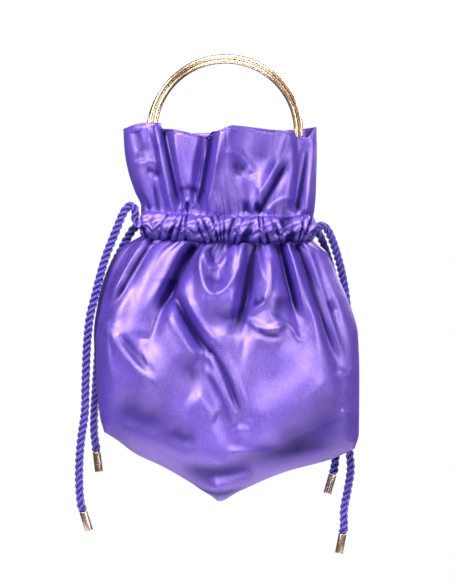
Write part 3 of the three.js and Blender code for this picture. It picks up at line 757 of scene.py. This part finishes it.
picture = {
    "scale": 0.9,  # millimetres to a pixel
    "middle": 225.5,  # the column of x = 0
    "hang": 63.8,  # the row of z = 0
}
frontCreases = table(
    "x1 y1 x2 y2 x3 y3 left right lift fadeIn fadeOut",
    # ruffle, left puff
    (133, 157, 142, 163, 150, 158, 4, 4, -1.2, 0.3, 0.3),
    (146, 170, 156, 171, 161, 180, 4, 4, -2, 0.3, 0.3), (135, 168, 148, 158, 158, 168, 3, 3, 1, 0.3, 0.3),
    (131, 178, 140, 198, 150, 212, 3, 3, -1.8, 0.3, 0.1),
    (155, 180, 157, 196, 159, 212, 2, 2, -1.6, 0.4, 0),
    (146, 126, 156, 140, 162, 152, 4, 3, 1.5, 0.1, 0.3),
    # ruffle, flat pleat
    (207.5, 130, 206, 172, 195, 212, 5, 2.5, 4.5, 0, 0.3),
    (173, 131, 176, 176, 184, 212, 7, 10, 3.4, 0, 0.3),
    (177, 193, 188, 187, 200, 194, 3, 4, -1.6, 0.2, 0.2),
    (181, 213, 188, 192, 195, 210, 2, 2, 2.2, 0.1, 0.1),
    (188, 202, 188, 208, 187, 213, 2, 2, -1.6, 0.2, 0),
    # ruffle, right puff
    (229, 129, 217, 150, 211, 182, 5, 6, 2.2, 0, 0.3),
    (219, 158, 240, 146, 253, 176, 4, 4, 1.8, 0.3, 0.1),
    (253, 176, 257, 190, 262, 200, 3, 3, 1.2, 0.1, 0.4),
    (228, 174, 240, 163, 247, 184, 4, 5, -1.4, 0.4, 0.4),
    (272, 128, 272, 160, 258, 188, 16, 20, -8, 0, 0.5),
    (231, 168, 240, 162, 248, 178, 6, 6, -1.6, 0.4, 0.4),
    (136, 130, 140, 150, 150, 160, 5, 5, -2.5, 0.1, 0.4),
    (266, 214, 280, 195, 295, 200, 2, 3, 1.3, 0.1, 0.2),
    (245, 199, 245.5, 207, 245, 213, 2.5, 2.5, -3, 0.5, 0),
    (258, 199, 257.5, 206, 257, 213, 2, 2, -2.5, 0.5, 0),
    # body, left
    (109, 318, 107, 345, 116, 384, 2, 6, 2.2, 0.1, 0.4),
    (109, 322, 122, 355, 166, 389, 4, 5, 2.6, 0.1, 0.3),
    (122, 331, 134, 352, 153, 371, 4, 4, -2.8, 0.3, 0.3),
    (190, 262, 160, 300, 146, 338, 3, 8, 3, 0.2, 0.1), (146, 338, 147, 358, 157, 370, 3, 4, 2, 0.1, 0.4),
    (97, 312, 101, 323, 104, 312, 2, 2, 1, 0.2, 0.2),
    # body, long slanting crease
    (175, 293, 190, 333, 212, 352, 3.4, 2.6, -5.5, 0.2, 0.05),
    (210, 349, 225, 366, 243, 424, 2.6, 2.2, -5, 0.05, 0.35),
    (186, 294, 199, 325, 224, 346, 2.6, 3, 2.4, 0.2, 0.2),
    (166, 300, 181, 342, 204, 358, 6, 4, 2.6, 0.3, 0.2),
    (202, 362, 219, 380, 236, 420, 5, 3, 2.6, 0.3, 0.15),
    (224, 350, 238, 378, 251, 420, 3, 5, 2.2, 0.3, 0.1),
    (236, 424, 243, 431, 250, 424, 4, 3, 2, 0.2, 0.2),
    (232, 300, 229, 318, 227, 338, 14, 16, -7, 0.5, 0.5),
    # body, swag in the middle
    (198, 246, 202, 291, 213, 294, 3, 3, 3, 0.1, 0), (213, 294, 228, 293, 244, 260, 3, 3, 3, 0, 0.2),
    (202, 246, 206, 263, 213, 269, 2, 2, 1.6, 0.1, 0), (213, 269, 221, 267, 228, 252, 2, 2, 1.6, 0, 0.2),
    (211, 247, 212, 258, 214, 264, 3, 3, -2, 0.1, 0.2),
    (207, 275, 213, 284, 226, 278, 4, 4, -1.5, 0.2, 0.2),
    # body, horn to the right of it
    (269, 254, 274, 292, 260, 305, 2.5, 5, 2.8, 0.2, 0),
    (260, 305, 252, 310, 246, 318, 2.5, 4, 2.5, 0, 0), (246, 318, 238, 332, 235, 372, 3, 8, 2.5, 0, 0.5),
    (254, 249, 258, 272, 265, 282, 1.8, 1.8, 1.4, 0.1, 0.3),
    (251, 301, 258, 305, 264, 297, 3, 3, -2.2, 0.2, 0.2),
    (281, 294, 282, 309, 272, 319, 7, 7, -3.4, 0.3, 0.3),
    (248, 319, 262, 333, 277, 327, 2.6, 3, 2.2, 0.1, 0),
    (277, 327, 286, 317, 293, 331, 2.6, 3, 2.2, 0, 0),
    (293, 331, 299, 345, 304, 333, 2.2, 2.2, 1.8, 0, 0.3),
    (253, 334, 268, 348, 281, 338, 2.2, 2.2, 1.3, 0.2, 0.2),
    (256, 327, 267, 337, 279, 333, 2.4, 2.4, -1.6, 0.2, 0.2),
    # body, right
    (291, 248, 303, 290, 319, 332, 5, 5, 2, 0.2, 0.3), (311, 237, 318, 246, 327, 255, 2, 2, -1.6, 0, 0.4),
    (322, 262, 338, 300, 348, 346, 5, 5, 1.6, 0.2, 0.3),
    (326, 299, 331, 306, 334, 313, 3, 3, -1.5, 0.3, 0.3),
    # lower body
    (222, 447, 254, 451, 282, 446, 4, 4, 3.2, 0.2, 0.2),
    (215, 456, 262, 459, 335, 452, 8, 8, -2.2, 0.5, 0.5),
    (174, 461, 214, 476, 262, 459, 6, 8, -4.2, 0.35, 0.35),
    (188, 490, 224, 487, 260, 474, 8, 5, 6.5, 0.2, 0.2),
    (126, 450, 163, 470, 204, 494, 1.1, 1.1, -1.4, 0.1, 0.2),
    (182, 478, 208, 500, 250, 482, 3, 3, -2, 0.2, 0.3),
    (95, 400, 99, 420, 106, 435, 1.6, 2, -1.3, 0.3, 0.2),
    # broad swells that carry the light
    (262, 225, 262, 290, 262, 330, 14, 14, 2, 0.3, 0.3),
    (190, 392, 205, 402, 222, 412, 8, 12, 3, 0.3, 0.2),
    (268, 436, 305, 438, 352, 404, 15, 13, -6, 0.4, 0.3),
    (112, 392, 130, 418, 186, 428, 14, 14, -6, 0.4, 0.4),
    (165, 422, 180, 436, 202, 438, 9, 9, -4, 0.4, 0.4),
    (240, 444, 292, 452, 350, 436, 9, 8, -3.4, 0.3, 0.3),
    (186, 350, 196, 372, 200, 396, 10, 8, -4, 0.5, 0.5),
    (113, 256, 104, 280, 100, 306, 9, 9, -3, 0.4, 0.4),
    (170, 300, 172, 330, 196, 372, 14, 14, 4, 0.2, 0.3),
    (128, 270, 118, 300, 124, 330, 9, 12, 2.5, 0.3, 0.3),
    (336, 366, 345, 379, 355, 366, 2.4, 3.4, 2, 0.2, 0.2),
    (338, 408, 345, 416, 353, 408, 2.4, 3, 1.6, 0.2, 0.2),
)
frontTucks = table(  # steep folds: lift is half the step; over is 1 where the right side lies on top
    "x1 y1 x2 y2 x3 y3 width lift over fadeIn fadeOut",
    (162, 128, 168, 176, 180, 219, 2.6, 5, 1, 0, 0.3),
    (213, 128, 211, 176, 197, 217, 2.8, 4, -1, 0, 0.25),
    (289, 156, 271, 184, 254, 217, 2.6, 2.2, 1, 0.4, 0.1),
    (312, 140, 305, 180, 299, 216, 2.8, 3, -1, 0.2, 0.1),
    (192, 243, 173, 279, 148, 324, 3.2, 4.2, 1, 0.02, 0.4),
    (252, 243, 248, 275, 231, 343, 3, 2.6, 1, 0.02, 0.4),
    (282, 242, 291, 280, 302, 328, 2.4, 3.2, -1, 0.02, 0.3),
    (298, 242, 313, 285, 342, 374, 2.6, 3, -1, 0.02, 0.3),
    (152, 237, 132, 268, 108, 314, 2.4, 2.4, 1, 0.02, 0.3),
)
frontShoulders = table(  # ridges with a steep left side, which catches the light, and a slow right side
    "x1 y1 x2 y2 x3 y3 steep slow lift fadeIn fadeOut",
    (244, 420, 300, 412, 340, 352, 24, 36, 9, 0.25, 0.3),
    (110, 316, 122, 374, 176, 394, 16, 24, 6, 0.2, 0.3),
    (195, 212, 206, 172, 207.5, 130, 2.5, 20, 5, 0.3, 0),
    (196, 286, 214, 300, 236, 288, 10, 14, 3, 0.4, 0.4),
    (248, 322, 268, 336, 292, 330, 12, 14, 3, 0.4, 0.4),
)
backTucks = table(
    "x1 y1 x2 y2 x3 y3 width lift over fadeIn fadeOut",
    (180, 130, 184, 175, 192, 216, 2.8, 3.4, 1, 0, 0.25),
    (250, 130, 246, 175, 238, 216, 2.8, 3.4, -1, 0, 0.25),
    (176, 243, 162, 280, 140, 330, 3, 3.4, 1, 0.02, 0.4),
    (204, 243, 200, 290, 186, 345, 3, 3, 1, 0.02, 0.4),
    (240, 243, 246, 290, 262, 350, 3, 3, -1, 0.02, 0.4),
    (268, 242, 280, 285, 304, 335, 3, 3.4, -1, 0.02, 0.4),
    (290, 242, 308, 280, 336, 340, 2.6, 2.6, -1, 0.02, 0.4),
)
backShoulders = table(
    "x1 y1 x2 y2 x3 y3 steep slow lift fadeIn fadeOut",
    (140, 376, 196, 410, 262, 378, 22, 30, 6, 0.3, 0.3),
    (250, 330, 288, 352, 330, 334, 14, 20, 3.6, 0.3, 0.3),
)
backCreases = table(
    "x1 y1 x2 y2 x3 y3 left right lift fadeIn fadeOut",
    (120, 300, 128, 350, 160, 380, 5, 7, 3, 0.2, 0.3),
    (200, 300, 214, 350, 250, 392, 4, 6, 2.6, 0.2, 0.3),
    (330, 300, 322, 350, 292, 386, 7, 5, 3, 0.2, 0.3),
    (226, 250, 224, 290, 232, 330, 6, 6, 2.4, 0.1, 0.4),
    (150, 404, 190, 424, 240, 416, 9, 10, -3, 0.3, 0.3),
    (240, 440, 270, 450, 310, 436, 6, 8, 2.4, 0.3, 0.3),
    (205, 160, 214, 180, 212, 205, 4, 5, 1.8, 0.3, 0.3),
    (280, 140, 270, 170, 262, 200, 5, 6, 2, 0.1, 0.3),
    (150, 140, 146, 170, 158, 200, 5, 5, 1.8, 0.1, 0.3),
    (262, 300, 268, 318, 282, 326, 4, 4, -2.4, 0.3, 0.3),
)
creaseTables = {
    "front_panel": (frontTucks, frontShoulders, frontCreases),
    "back_panel": (backTucks, backShoulders, backCreases),
}
creaseShape = {
    "steps": 24,
    "reach": 4,  # how many widths away a crease ends
    "round": 2.5,  # of a shoulder's top
    "pinch": 0.5,  # how nearly upright a tuck's side stands; 0.6 would be upright
    "mostShade": 0.75,  # the most painted shade that a crease gets
    "seam": 0.12,  # how far from the seams creases fade
}
pleat = {
    "left": 162,  # the flat pleat of the ruffle, by its columns at the mouth
    "right": 210,
    "drop": 5,  # how far its edge hangs below the cloth beside it
    "fade": 40,
    "blur": 0.8,
    "rightBlur": 3,
}


def fromPicture(column, row):
    return (column - picture["middle"]) * picture["scale"], -(row - picture["hang"]) * picture["scale"]


def followCrease(crease, corners, x, z):  # how far to its left, how far past its ends, and how full it is
    steps = creaseShape["steps"]
    t = np.linspace(0, 1, steps + 1)[:, None]
    line = corners[0] * (1 - t) ** 2 + 2 * corners[1] * t * (1 - t) + corners[2] * t**2
    step = np.gradient(line, axis=0)
    length = np.linalg.norm(step, axis=1)
    away = np.stack([x, z], axis=1)[:, None] - line
    near = np.argmin((away**2).sum(axis=2), axis=1)
    away = away[np.arange(len(x)), near]
    step, length = step[near] / length[near, None], length[near]
    along = near + (away * step).sum(axis=1) / length
    past = length * np.maximum(np.maximum(-along, along - steps), 0)
    side = away[:, 1] * step[:, 0] - away[:, 0] * step[:, 1]
    share = np.clip(along / steps, 0, 1)
    rise = smoothstep(share, -1e-3, max(crease["fadeIn"], 1e-3))
    return side, past, rise * smoothstep(1 - share, -1e-3, max(crease["fadeOut"], 1e-3))


def tuckAt(tuck, side, past, rise):  # one side rises and leans over the other, with painted shade on the low side just under its edge
    share = -side / tuck["width"] * tuck["over"]  # positive on the side that lies on top
    rise = rise * np.exp(-((past / tuck["width"]) ** 2))
    aside = -rise * creaseShape["pinch"] * tuck["width"] * share * np.exp(0.5 - share**2 / 2) * tuck["over"]
    lift = rise * tuck["lift"] * share * np.exp(0.5 - share**2 / 5)
    return aside, lift, rise * np.exp(-(((share + 0.55) / 0.75) ** 2))


def shoulderAt(shoulder, side, past, rise):
    top = creaseShape["round"]
    slow = np.exp((top - np.hypot(side, top)) / shoulder["slow"])
    bell = np.where(side > 0, np.exp(-((side / shoulder["steep"]) ** 2)), slow)
    return 0, rise * shoulder["lift"] * bell * np.exp(-((past / shoulder["steep"]) ** 2)), 0


def plainCreaseAt(crease, side, past, rise):
    width = np.where(side > 0, crease["left"], crease["right"])
    bell = rise * np.exp(-(side**2 + past**2) / width**2)
    # painted shade in a sunken crease, more for a narrow one
    return 0, crease["lift"] * bell, bell * np.clip(-1.4 * crease["lift"] / width, 0, creaseShape["mostShade"])


def creaseAt(tables, x, z):  # how creases move a place aside and out of the cloth, and how much painted shade it gets
    moves = np.zeros((3, len(x)))
    for crease in (row for rows in tables for row in rowsOf(rows)):
        corners = np.array([fromPicture(crease[f"x{n}"], crease[f"y{n}"]) for n in (1, 2, 3)])
        widths = [crease[name] for name in ("left", "right", "width", "steep", "slow") if name in crease]
        reach = creaseShape["reach"] * max(widths)
        low, high = corners.min(axis=0) - reach, corners.max(axis=0) + reach
        near = np.flatnonzero((x > low[0]) & (x < high[0]) & (z > low[1]) & (z < high[1]))
        if not len(near):
            continue
        kind = tuckAt if "over" in crease else shoulderAt if "slow" in crease else plainCreaseAt
        for move, by in zip(moves, kind(crease, *followCrease(crease, corners, x[near], z[near]))):
            move[near] += by
    return moves


def creased(panel, across, points):  # a panel's creases as a move, which dies away at the seams, and their painted shade
    aside, lift, paintedShade = creaseAt(creaseTables[panel["name"]], points[:, 0], points[:, 2])
    hold = smoothstep(1 - np.abs(across), 0, creaseShape["seam"])
    x = points[:, 0] + aside
    left, right = (fromPicture(pleat[side], 0)[0] for side in ("left", "right"))
    below = -pouch["mouthDrop"] - points[:, 2]
    share = smoothstep(x - left, -pleat["blur"], pleat["blur"])
    share = share * smoothstep(right - x, -pleat["rightBlur"], pleat["rightBlur"]) * (panel["facing"] < 0)
    drop = -pleat["drop"] * share * smoothstep(pleat["fade"] - below, 0, pleat["fade"])
    return np.stack([aside * hold, panel["facing"] * lift * hold, drop], axis=1), paintedShade * hold


def paintedShadeAt(panel, across, down):  # painted shade: how deep in a fold or between gathers a place lies, from 0 to 1
    gathered = np.exp(-np.abs(down - middleOfCasing) / gatherShape["shadeReach"])
    between = np.clip(1 - gatherShape["gatherShade"] * gatherPuff(panel, across), 0, 1) * gathered
    depth = np.clip(-foldAt(panel, across, down) / gatherShape["foldDepth"], 0, 1)
    return between + depth ** gatherShape["foldNarrow"] * gatherShape["foldShade"]


def rowPlaces(panel):  # how far down each of a panel's rows lies
    ruffle, casing, bodyRows, closing = panel["rows"]
    end = np.sin(np.linspace(0, math.pi / 2, closing + 1))
    share = np.concatenate([
        np.linspace(0, pouch["closingFrom"], bodyRows, endpoint=False), mix(pouch["closingFrom"], 1, end),
    ])
    return np.concatenate([
        np.linspace(0, ruffleEnd, ruffle, endpoint=False),
        np.linspace(ruffleEnd, bodyTop, casing, endpoint=False),
        bodyTop + pouch["bodyHeight"] * share,
    ])


def surfaceAt(panel, across, down):
    points = panelPoint(panel, across, down)
    return points + creased(panel, across, points)[0]


def columnPlaces(panel):  # how far across each column lies, closer together where folds use up more cloth
    across = -np.cos(np.linspace(0, math.pi, pouch["columnSamples"]))
    run = 0
    start, share = pouch["columnRange"]
    for down in np.linspace(start, ruffleEnd + pouch["bodyHeight"] * share, pouch["columnRows"]):
        run = run + runOf(surfaceAt(panel, across, np.full_like(across, down)))
    return np.interp(np.linspace(0, run[-1], panel["columns"] + 1), run, across)


def panelMesh(panel):
    places, columns = rowPlaces(panel), columnPlaces(panel)
    across, rows = panel["columns"], len(places) - 1
    mesh = gridMesh(panel["name"], across, rows, walls=True)
    x, y, z = coordinates(mesh).T
    across = np.interp((x + 1) / 2 * across, np.arange(across + 1), columns)
    down = np.interp((1 - y) / 2 * rows, np.arange(rows + 1), places)
    outer = panelPoint(panel, across, down)
    inside = np.abs(z) > 0.5
    move, paintedShade = creased(panel, across, outer)
    # painted shade on the outer face only
    paintedShade = np.clip(paintedShade + paintedShadeAt(panel, across, down), 0, 1) * ~inside
    points = np.where(inside[:, None], innerPoint(panel, across, down), outer) + move
    moveVertices(mesh, points * mm, "paintedShade", paintedShade)
    return mesh


def innerPoint(panel, across, down):  # a cloth's thickness inside, along the plain form's own directions
    plain = {**panel, "ruffleFolds": {}, "bodyFolds": {}}
    small = 1e-3
    low, high = np.clip(across - small, -1, 1), np.clip(across + small, -1, 1)
    wide = panelPoint(plain, high, down, 0, 0) - panelPoint(plain, low, down, 0, 0)
    upper, lower = np.maximum(down - 1, 0), np.minimum(down + 1, bodyTop + pouch["bodyHeight"])
    tall = panelPoint(plain, across, lower, 0, 0) - panelPoint(plain, across, upper, 0, 0)
    out = np.cross(tall, wide) * -panel["facing"]
    atSeam = (np.abs(across) > 1 - 1e-6) | (down >= lower - 1e-6)
    out[atSeam, 1] = 0
    out[down < 1e-6, 2] = 0
    out /= np.maximum(np.linalg.norm(out, axis=1, keepdims=True), 1e-9)
    return panelPoint(panel, across, down) - out * pouch["cloth"]


for panel in (frontPanel, backPanel):
    name = panel["name"]
    mesh = panelMesh(panel)
    cloth = satinMaterial(name + "_satin", pouch["weaveSize"])
    piece = addPiece("satin_" + name, mesh, cloth, [name])
    print("panel", name, len(mesh.polygons))

# casings: gathered bands round the neck

casing = {
    "cloth": 1.2,
    "channel": 8.4,
    "pucker": 4.4,
    "edgePucker": 2.8,
    "slant": 0.06,
    "shallow": 0.35,  # the shallowest gather, against the deepest
    "square": 0.7,  # under 1 makes the channel's crown fuller than round
    "crumple": 1.3,
    "rim": 2.0,  # the crumpled ridge along the middle
    "rimLevel": 0.12,
    "rimWidth": 0.1,
    "rimSwing": 0.34,
    "rimTurns": 15,
    "groove": 0.5,  # under the rim, as a share of its height
    "grooveLevel": 0.24,
    "grooveWidth": 0.18,
    "level": 0.62,  # of the plain cloth between crease and puff
    "end": 21,  # degrees from the side seam
    "around": 72,
    "along": 340,
    "flat": (0.25, 0.052),
    "weaveSize": (0.05, 0.24),
}


def rimAt(across, level):  # a zigzag ridge with a groove under it
    swing = np.arcsin(np.sin(math.pi * casing["rimTurns"] * across + 1.3 * np.sin(6 * across))) * 2 / math.pi
    off = level - casing["rimLevel"] - casing["rimSwing"] * swing * (0.7 + 0.3 * np.sin(9 * across + 1))
    under = (off - casing["grooveLevel"]) / casing["grooveWidth"]
    return np.exp(-((off / casing["rimWidth"]) ** 2)) - casing["groove"] * np.exp(-(under**2))


def casingMesh(panel):
    mesh = gridMesh(panel["name"] + "_casing", casing["around"], casing["along"], walls=True)
    x, y, z = coordinates(mesh).T
    outer = np.where(np.abs(z) > 0.5, 0, 1)
    end = math.radians(casing["end"])
    across = -np.cos(mix(end, math.pi - end, (y + 1) / 2))
    swing = (x + 1) / 2 * math.pi * 1.5  # a half turn over the bulge, then back along the panel
    over = swing <= math.pi
    level = np.where(over, -np.cos(swing), 1 - 2 * (swing - math.pi) / (math.pi / 2))
    crown = np.where(over, np.abs(np.sin(swing)), 0)
    seed = panel["seed"]
    puff = gatherPuff(panel, across + casing["slant"] * level * np.sin(8 * across + seed))
    depth = 0.55 + 0.45 * np.sin(23 * across + 3 * level + 4 * seed)
    puff = 1 - (1 - puff) * mix(casing["shallow"], 1, depth)
    # painted shade between the gathers and over the band's lower half
    paintedShade = np.clip(1.4 - 1.8 * puff, 0, 1) + 0.5 * smoothstep(level, -0.2, 0.4)
    crumple = np.sin(41 * across + 5 * level + seed) * np.sin(19 * across - 4 * level)
    fine = casing["pucker"] * (puff - casing["level"]) + casing["crumple"] * crumple
    fine = fine + casing["rim"] * rimAt(across, level) * puff * outer
    inset = (1 - outer) * casing["cloth"]
    bulge = (casing["channel"] + 2 * casing["cloth"] - 2 * inset) * crown ** casing["square"] + fine * crown
    off = pouch["gap"] + inset + np.where(over, bulge, 0)
    half = pouch["casingHeight"] / 2 - inset + outer * casing["edgePucker"] * (puff - 0.5)
    points = panelPoint(panel, across, middleOfCasing + half * level, off, 0)
    moveVertices(mesh, points * mm, "paintedShade", np.clip(paintedShade, 0, 1) * outer)
    editMesh(mesh, openTunnel)
    return mesh


def openTunnel(bm):  # takes out the faces between the band's two joined edges
    inside = [face for face in bm.faces if all(len(edge.link_faces) > 2 for edge in face.edges)]
    bmesh.ops.delete(bm, geom=inside, context="FACES")


for panel, name in ((frontPanel, "front_casing"), (backPanel, "back_casing")):
    mesh = casingMesh(panel)
    cloth = satinMaterial(name + "_satin", casing["weaveSize"])
    band = addPiece("gathered_" + name, mesh, cloth, [name])
    print("casing", name, len(mesh.polygons))

# rows of stitches, lying on the cloth

stitches = {
    "spacing": 3.1,
    "samples": 900,
    "size": (2.0, 0.6, 0.35),
    "off": 0.12,
    "rows": (  # distance down from the mouth's edge, and how far across the row reaches
        (2.8, 0.985), (72.4, 0.93), (97.6, 0.93),
    ),
}


def stitchRow(bm, panel, down, reach):
    across = np.linspace(-reach, reach, stitches["samples"])
    points = surfaceAt(panel, across, np.full_like(across, down))
    run = runOf(points)
    places = alongRun(np.linspace(0, run[-1], int(run[-1] / stitches["spacing"])), run, points)
    size = Matrix.Diagonal((*(length / 2 for length in stitches["size"]), 1))
    for place, step in zip(places, np.gradient(places, axis=0)):
        along = Vector(step).normalized()
        out = Vector((0, panel["facing"], 0))
        out = (out - along * out.dot(along)).normalized()
        turn = Matrix((along, out.cross(along), out)).transposed().to_4x4()
        spot = Matrix.Scale(mm, 4) @ Matrix.Translation(Vector(place) + out * stitches["off"]) @ turn @ size
        bmesh.ops.create_icosphere(bm, subdivisions=1, radius=1, matrix=spot)


for panel in (frontPanel, backPanel):
    bm = bmesh.new()
    for down, reach in stitches["rows"]:
        stitchRow(bm, panel, down, reach)
    mesh = meshFrom(bm, panel["name"] + "_stitches")
    addPiece("stitches_" + panel["name"], mesh, thread, [])
    print("stitches", panel["name"], len(mesh.polygons))

# what lies hidden inside: the cords in their casings, and the cloth tabs that hold the handle

inside = {
    "cordOff": 5.7,  # middle of a hidden cord, off the panel
    "cordPoints": 31,
    "tabEdge": 0.0004,
    "tabSharp": 0.6,  # edges that bend more than this are rounded
    "tabWeaveSize": (0.03, 0.03),
}

turn = np.linspace(math.radians(casing["end"]), math.pi - math.radians(casing["end"]), inside["cordPoints"])
for panel, name in ((frontPanel, "front_casing"), (backPanel, "back_casing")):
    points = panelPoint(panel, -np.cos(turn), np.full_like(turn, middleOfCasing), inside["cordOff"], 0) * mm
    mesh = ropeMesh("cord_in_" + name, points)[0]
    addPiece("twistedCord_in_" + name, mesh, rope, ["drawcord_in_" + name])

for name in ("left_handle_tab", "right_handle_tab"):
    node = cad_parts[name]
    bm = bmesh.new()
    bm.from_mesh(node.data)
    bm.transform(node.matrix_world)
    bmesh.ops.remove_doubles(bm, verts=bm.verts, dist=sameSpot)
    sharp = [edge for edge in bm.edges if edge.is_manifold and edge.calc_face_angle() > inside["tabSharp"]]
    bmesh.ops.bevel(
        bm, geom=sharp, affect="EDGES", offset=inside["tabEdge"], segments=2, profile=0.5, material=-1,
        clamp_overlap=True,
    )
    bmesh.ops.triangulate(bm, faces=bm.faces)
    mesh = meshFrom(bm, name)
    mesh.uv_layers.new(name="UVMap")
    cloth = satinMaterial(name + "_satin", inside["tabWeaveSize"])
    addPiece("cloth_" + name, mesh, cloth, [name], False)
    print("tab", name, len(mesh.polygons))

# handle: three round wires bent to an arch, soldered in two feet

handle = {
    "inside": 123,
    "wire": 4,
    "step": 4.3,
    "leg": 54,
    "footHeight": 20,
    "footWall": 1,
    "footEdge": 0.8,
    "sides": 24,
    "steps": 96,
    "wires": table("wider right back up", (0, 0, -0.33, 0), (1, 0, -0.33, 0), (0.95, -0.46, 0.62, -0.45)),
}


def edgesOf(verts):
    return list({edge for vert in verts for edge in vert.link_edges})


def handleMesh():
    bm = bmesh.new()
    wires = handle["wires"]
    radii = handle["inside"] / 2 + handle["wire"] / 2 + wires["wider"] * handle["step"]
    middles = np.stack([wires["right"], wires["back"], wires["up"]], axis=1) * handle["step"]
    middles[:, 2] -= handle["inside"] / 2
    footTop = -handle["inside"] / 2 - handle["leg"] + handle["footHeight"]
    for radius, middle in zip(radii, middles):
        start = Matrix.Translation(Vector(middle) - Vector((radius, 0, 0)))
        ring = bmesh.ops.create_circle(
            bm, cap_ends=False, segments=handle["sides"], radius=handle["wire"] / 2, matrix=start)["verts"]
        edges = edgesOf(ring)
        spun = bmesh.ops.spin(
            bm, geom=ring + edges, cent=middle, axis=(0, 1, 0), angle=math.pi, steps=handle["steps"])
        far = [item for item in spun["geom_last"] if isinstance(item, bmesh.types.BMEdge)]
        for loop in (edges, far):
            legs = bmesh.ops.extrude_edge_only(bm, edges=loop)["geom"]
            down = [item for item in legs if isinstance(item, bmesh.types.BMVert)]
            bmesh.ops.translate(bm, verts=down, vec=(0, 0, footTop - handle["footHeight"] / 2 - middle[2]))
    closeEnds(bm)
    reach = handle["wire"] / 2 + handle["footWall"]
    for side in (-1, 1):
        ends = middles[:, 0] + side * radii
        low = Vector((min(ends) - reach, min(middles[:, 1]) - reach, footTop - handle["footHeight"]))
        high = Vector((max(ends) + reach, max(middles[:, 1]) + reach, footTop))
        place = Matrix.Translation((low + high) / 2) @ Matrix.Diagonal((*(high - low), 1))
        box = bmesh.ops.create_cube(bm, size=1, matrix=place)["verts"]
        edges = edgesOf(box)
        bmesh.ops.bevel(
            bm, geom=edges, affect="EDGES", offset=handle["footEdge"], segments=3, profile=0.5, material=-1)
    bmesh.ops.recalc_face_normals(bm, faces=bm.faces)
    bmesh.ops.scale(bm, verts=bm.verts, vec=(mm, mm, mm))
    return meshFrom(bm, "handle")


addPiece("archHandle", handleMesh(), gold, ["handle"])
print("handle ready")

# floor and light

studio = {
    "floorDrop": 0.62,
    "floorRadius": 0.55,
    "floor": {"Base Color": (0.9, 0.9, 0.92, 1), "Roughness": 0.7},
    "skies": (  # colour and strength, first as surroundings and then as seen behind the bag
        ((0.55, 0.55, 0.62, 1), 0.2), ((1, 1, 1, 1), 1.0),
    ),
    "lamps": (  # name, place, width, height, power, colour
        ("keyLamp", (-1.1, -1.1, 0.5), 0.5, 0.8, 31, (1, 1, 1)),
        ("topLamp", (0.1, -1.0, 1.0), 1.0, 0.5, 36, (1, 0.98, 0.94)),
        ("fillLamp", (1.3, -1.0, 0.1), 0.3, 0.9, 15, (1, 1, 1)),
        ("lowLamp", (-0.3, -0.9, -1.3), 1.4, 0.5, 41, (0.8, 0.72, 1)),
        ("stripLamp", (0.12, -2.2, -0.2), 0.14, 1.5, 3, (1, 1, 1)),
        ("backLamp", (0.9, 1.3, 0.6), 0.9, 0.7, 30, (1, 1, 1)),
    ),
}


def makeStudio():
    bm = bmesh.new()
    bmesh.ops.create_circle(bm, cap_ends=True, segments=96, radius=studio["floorRadius"])
    bmesh.ops.translate(bm, verts=bm.verts, vec=(0, 0, -studio["floorDrop"]))
    mesh = meshFrom(bm, "floor")
    floor = bpy.data.objects.new("floor", mesh)
    bpy.context.scene.collection.objects.link(floor)
    mesh.materials.append(Finish("palePaper", studio["floor"]).material)
    for name, place, width, height, power, color in studio["lamps"]:
        data = bpy.data.lights.new(name, "AREA")
        data.shape, data.size, data.size_y, data.energy = "RECTANGLE", width, height, power
        data.color = color
        lamp = bpy.data.objects.new(name, data)
        bpy.context.scene.collection.objects.link(lamp)
        lamp.location = place
        aim = Vector((0, 0, camera["aim"][1])) - Vector(place)
        lamp.rotation_euler = aim.to_track_quat("-Z", "Y").to_euler()
    world = bpy.data.worlds.new("studio")
    bpy.context.scene.world = world
    world.use_nodes = True
    tree = world.node_tree
    tree.nodes.clear()
    output = tree.nodes.new("ShaderNodeOutputWorld")
    either = tree.nodes.new("ShaderNodeMixShader")
    seen = tree.nodes.new("ShaderNodeLightPath")
    for k, (color, strength) in enumerate(studio["skies"]):
        sky = tree.nodes.new("ShaderNodeBackground")
        sky.inputs["Color"].default_value = color
        sky.inputs["Strength"].default_value = strength
        tree.links.new(sky.outputs[0], either.inputs[1 + k])
    tree.links.new(seen.outputs["Is Camera Ray"], either.inputs[0])
    tree.links.new(either.outputs[0], output.inputs["Surface"])
    bpy.context.scene.view_settings.view_transform = "Standard"


makeStudio()
print("studio ready")
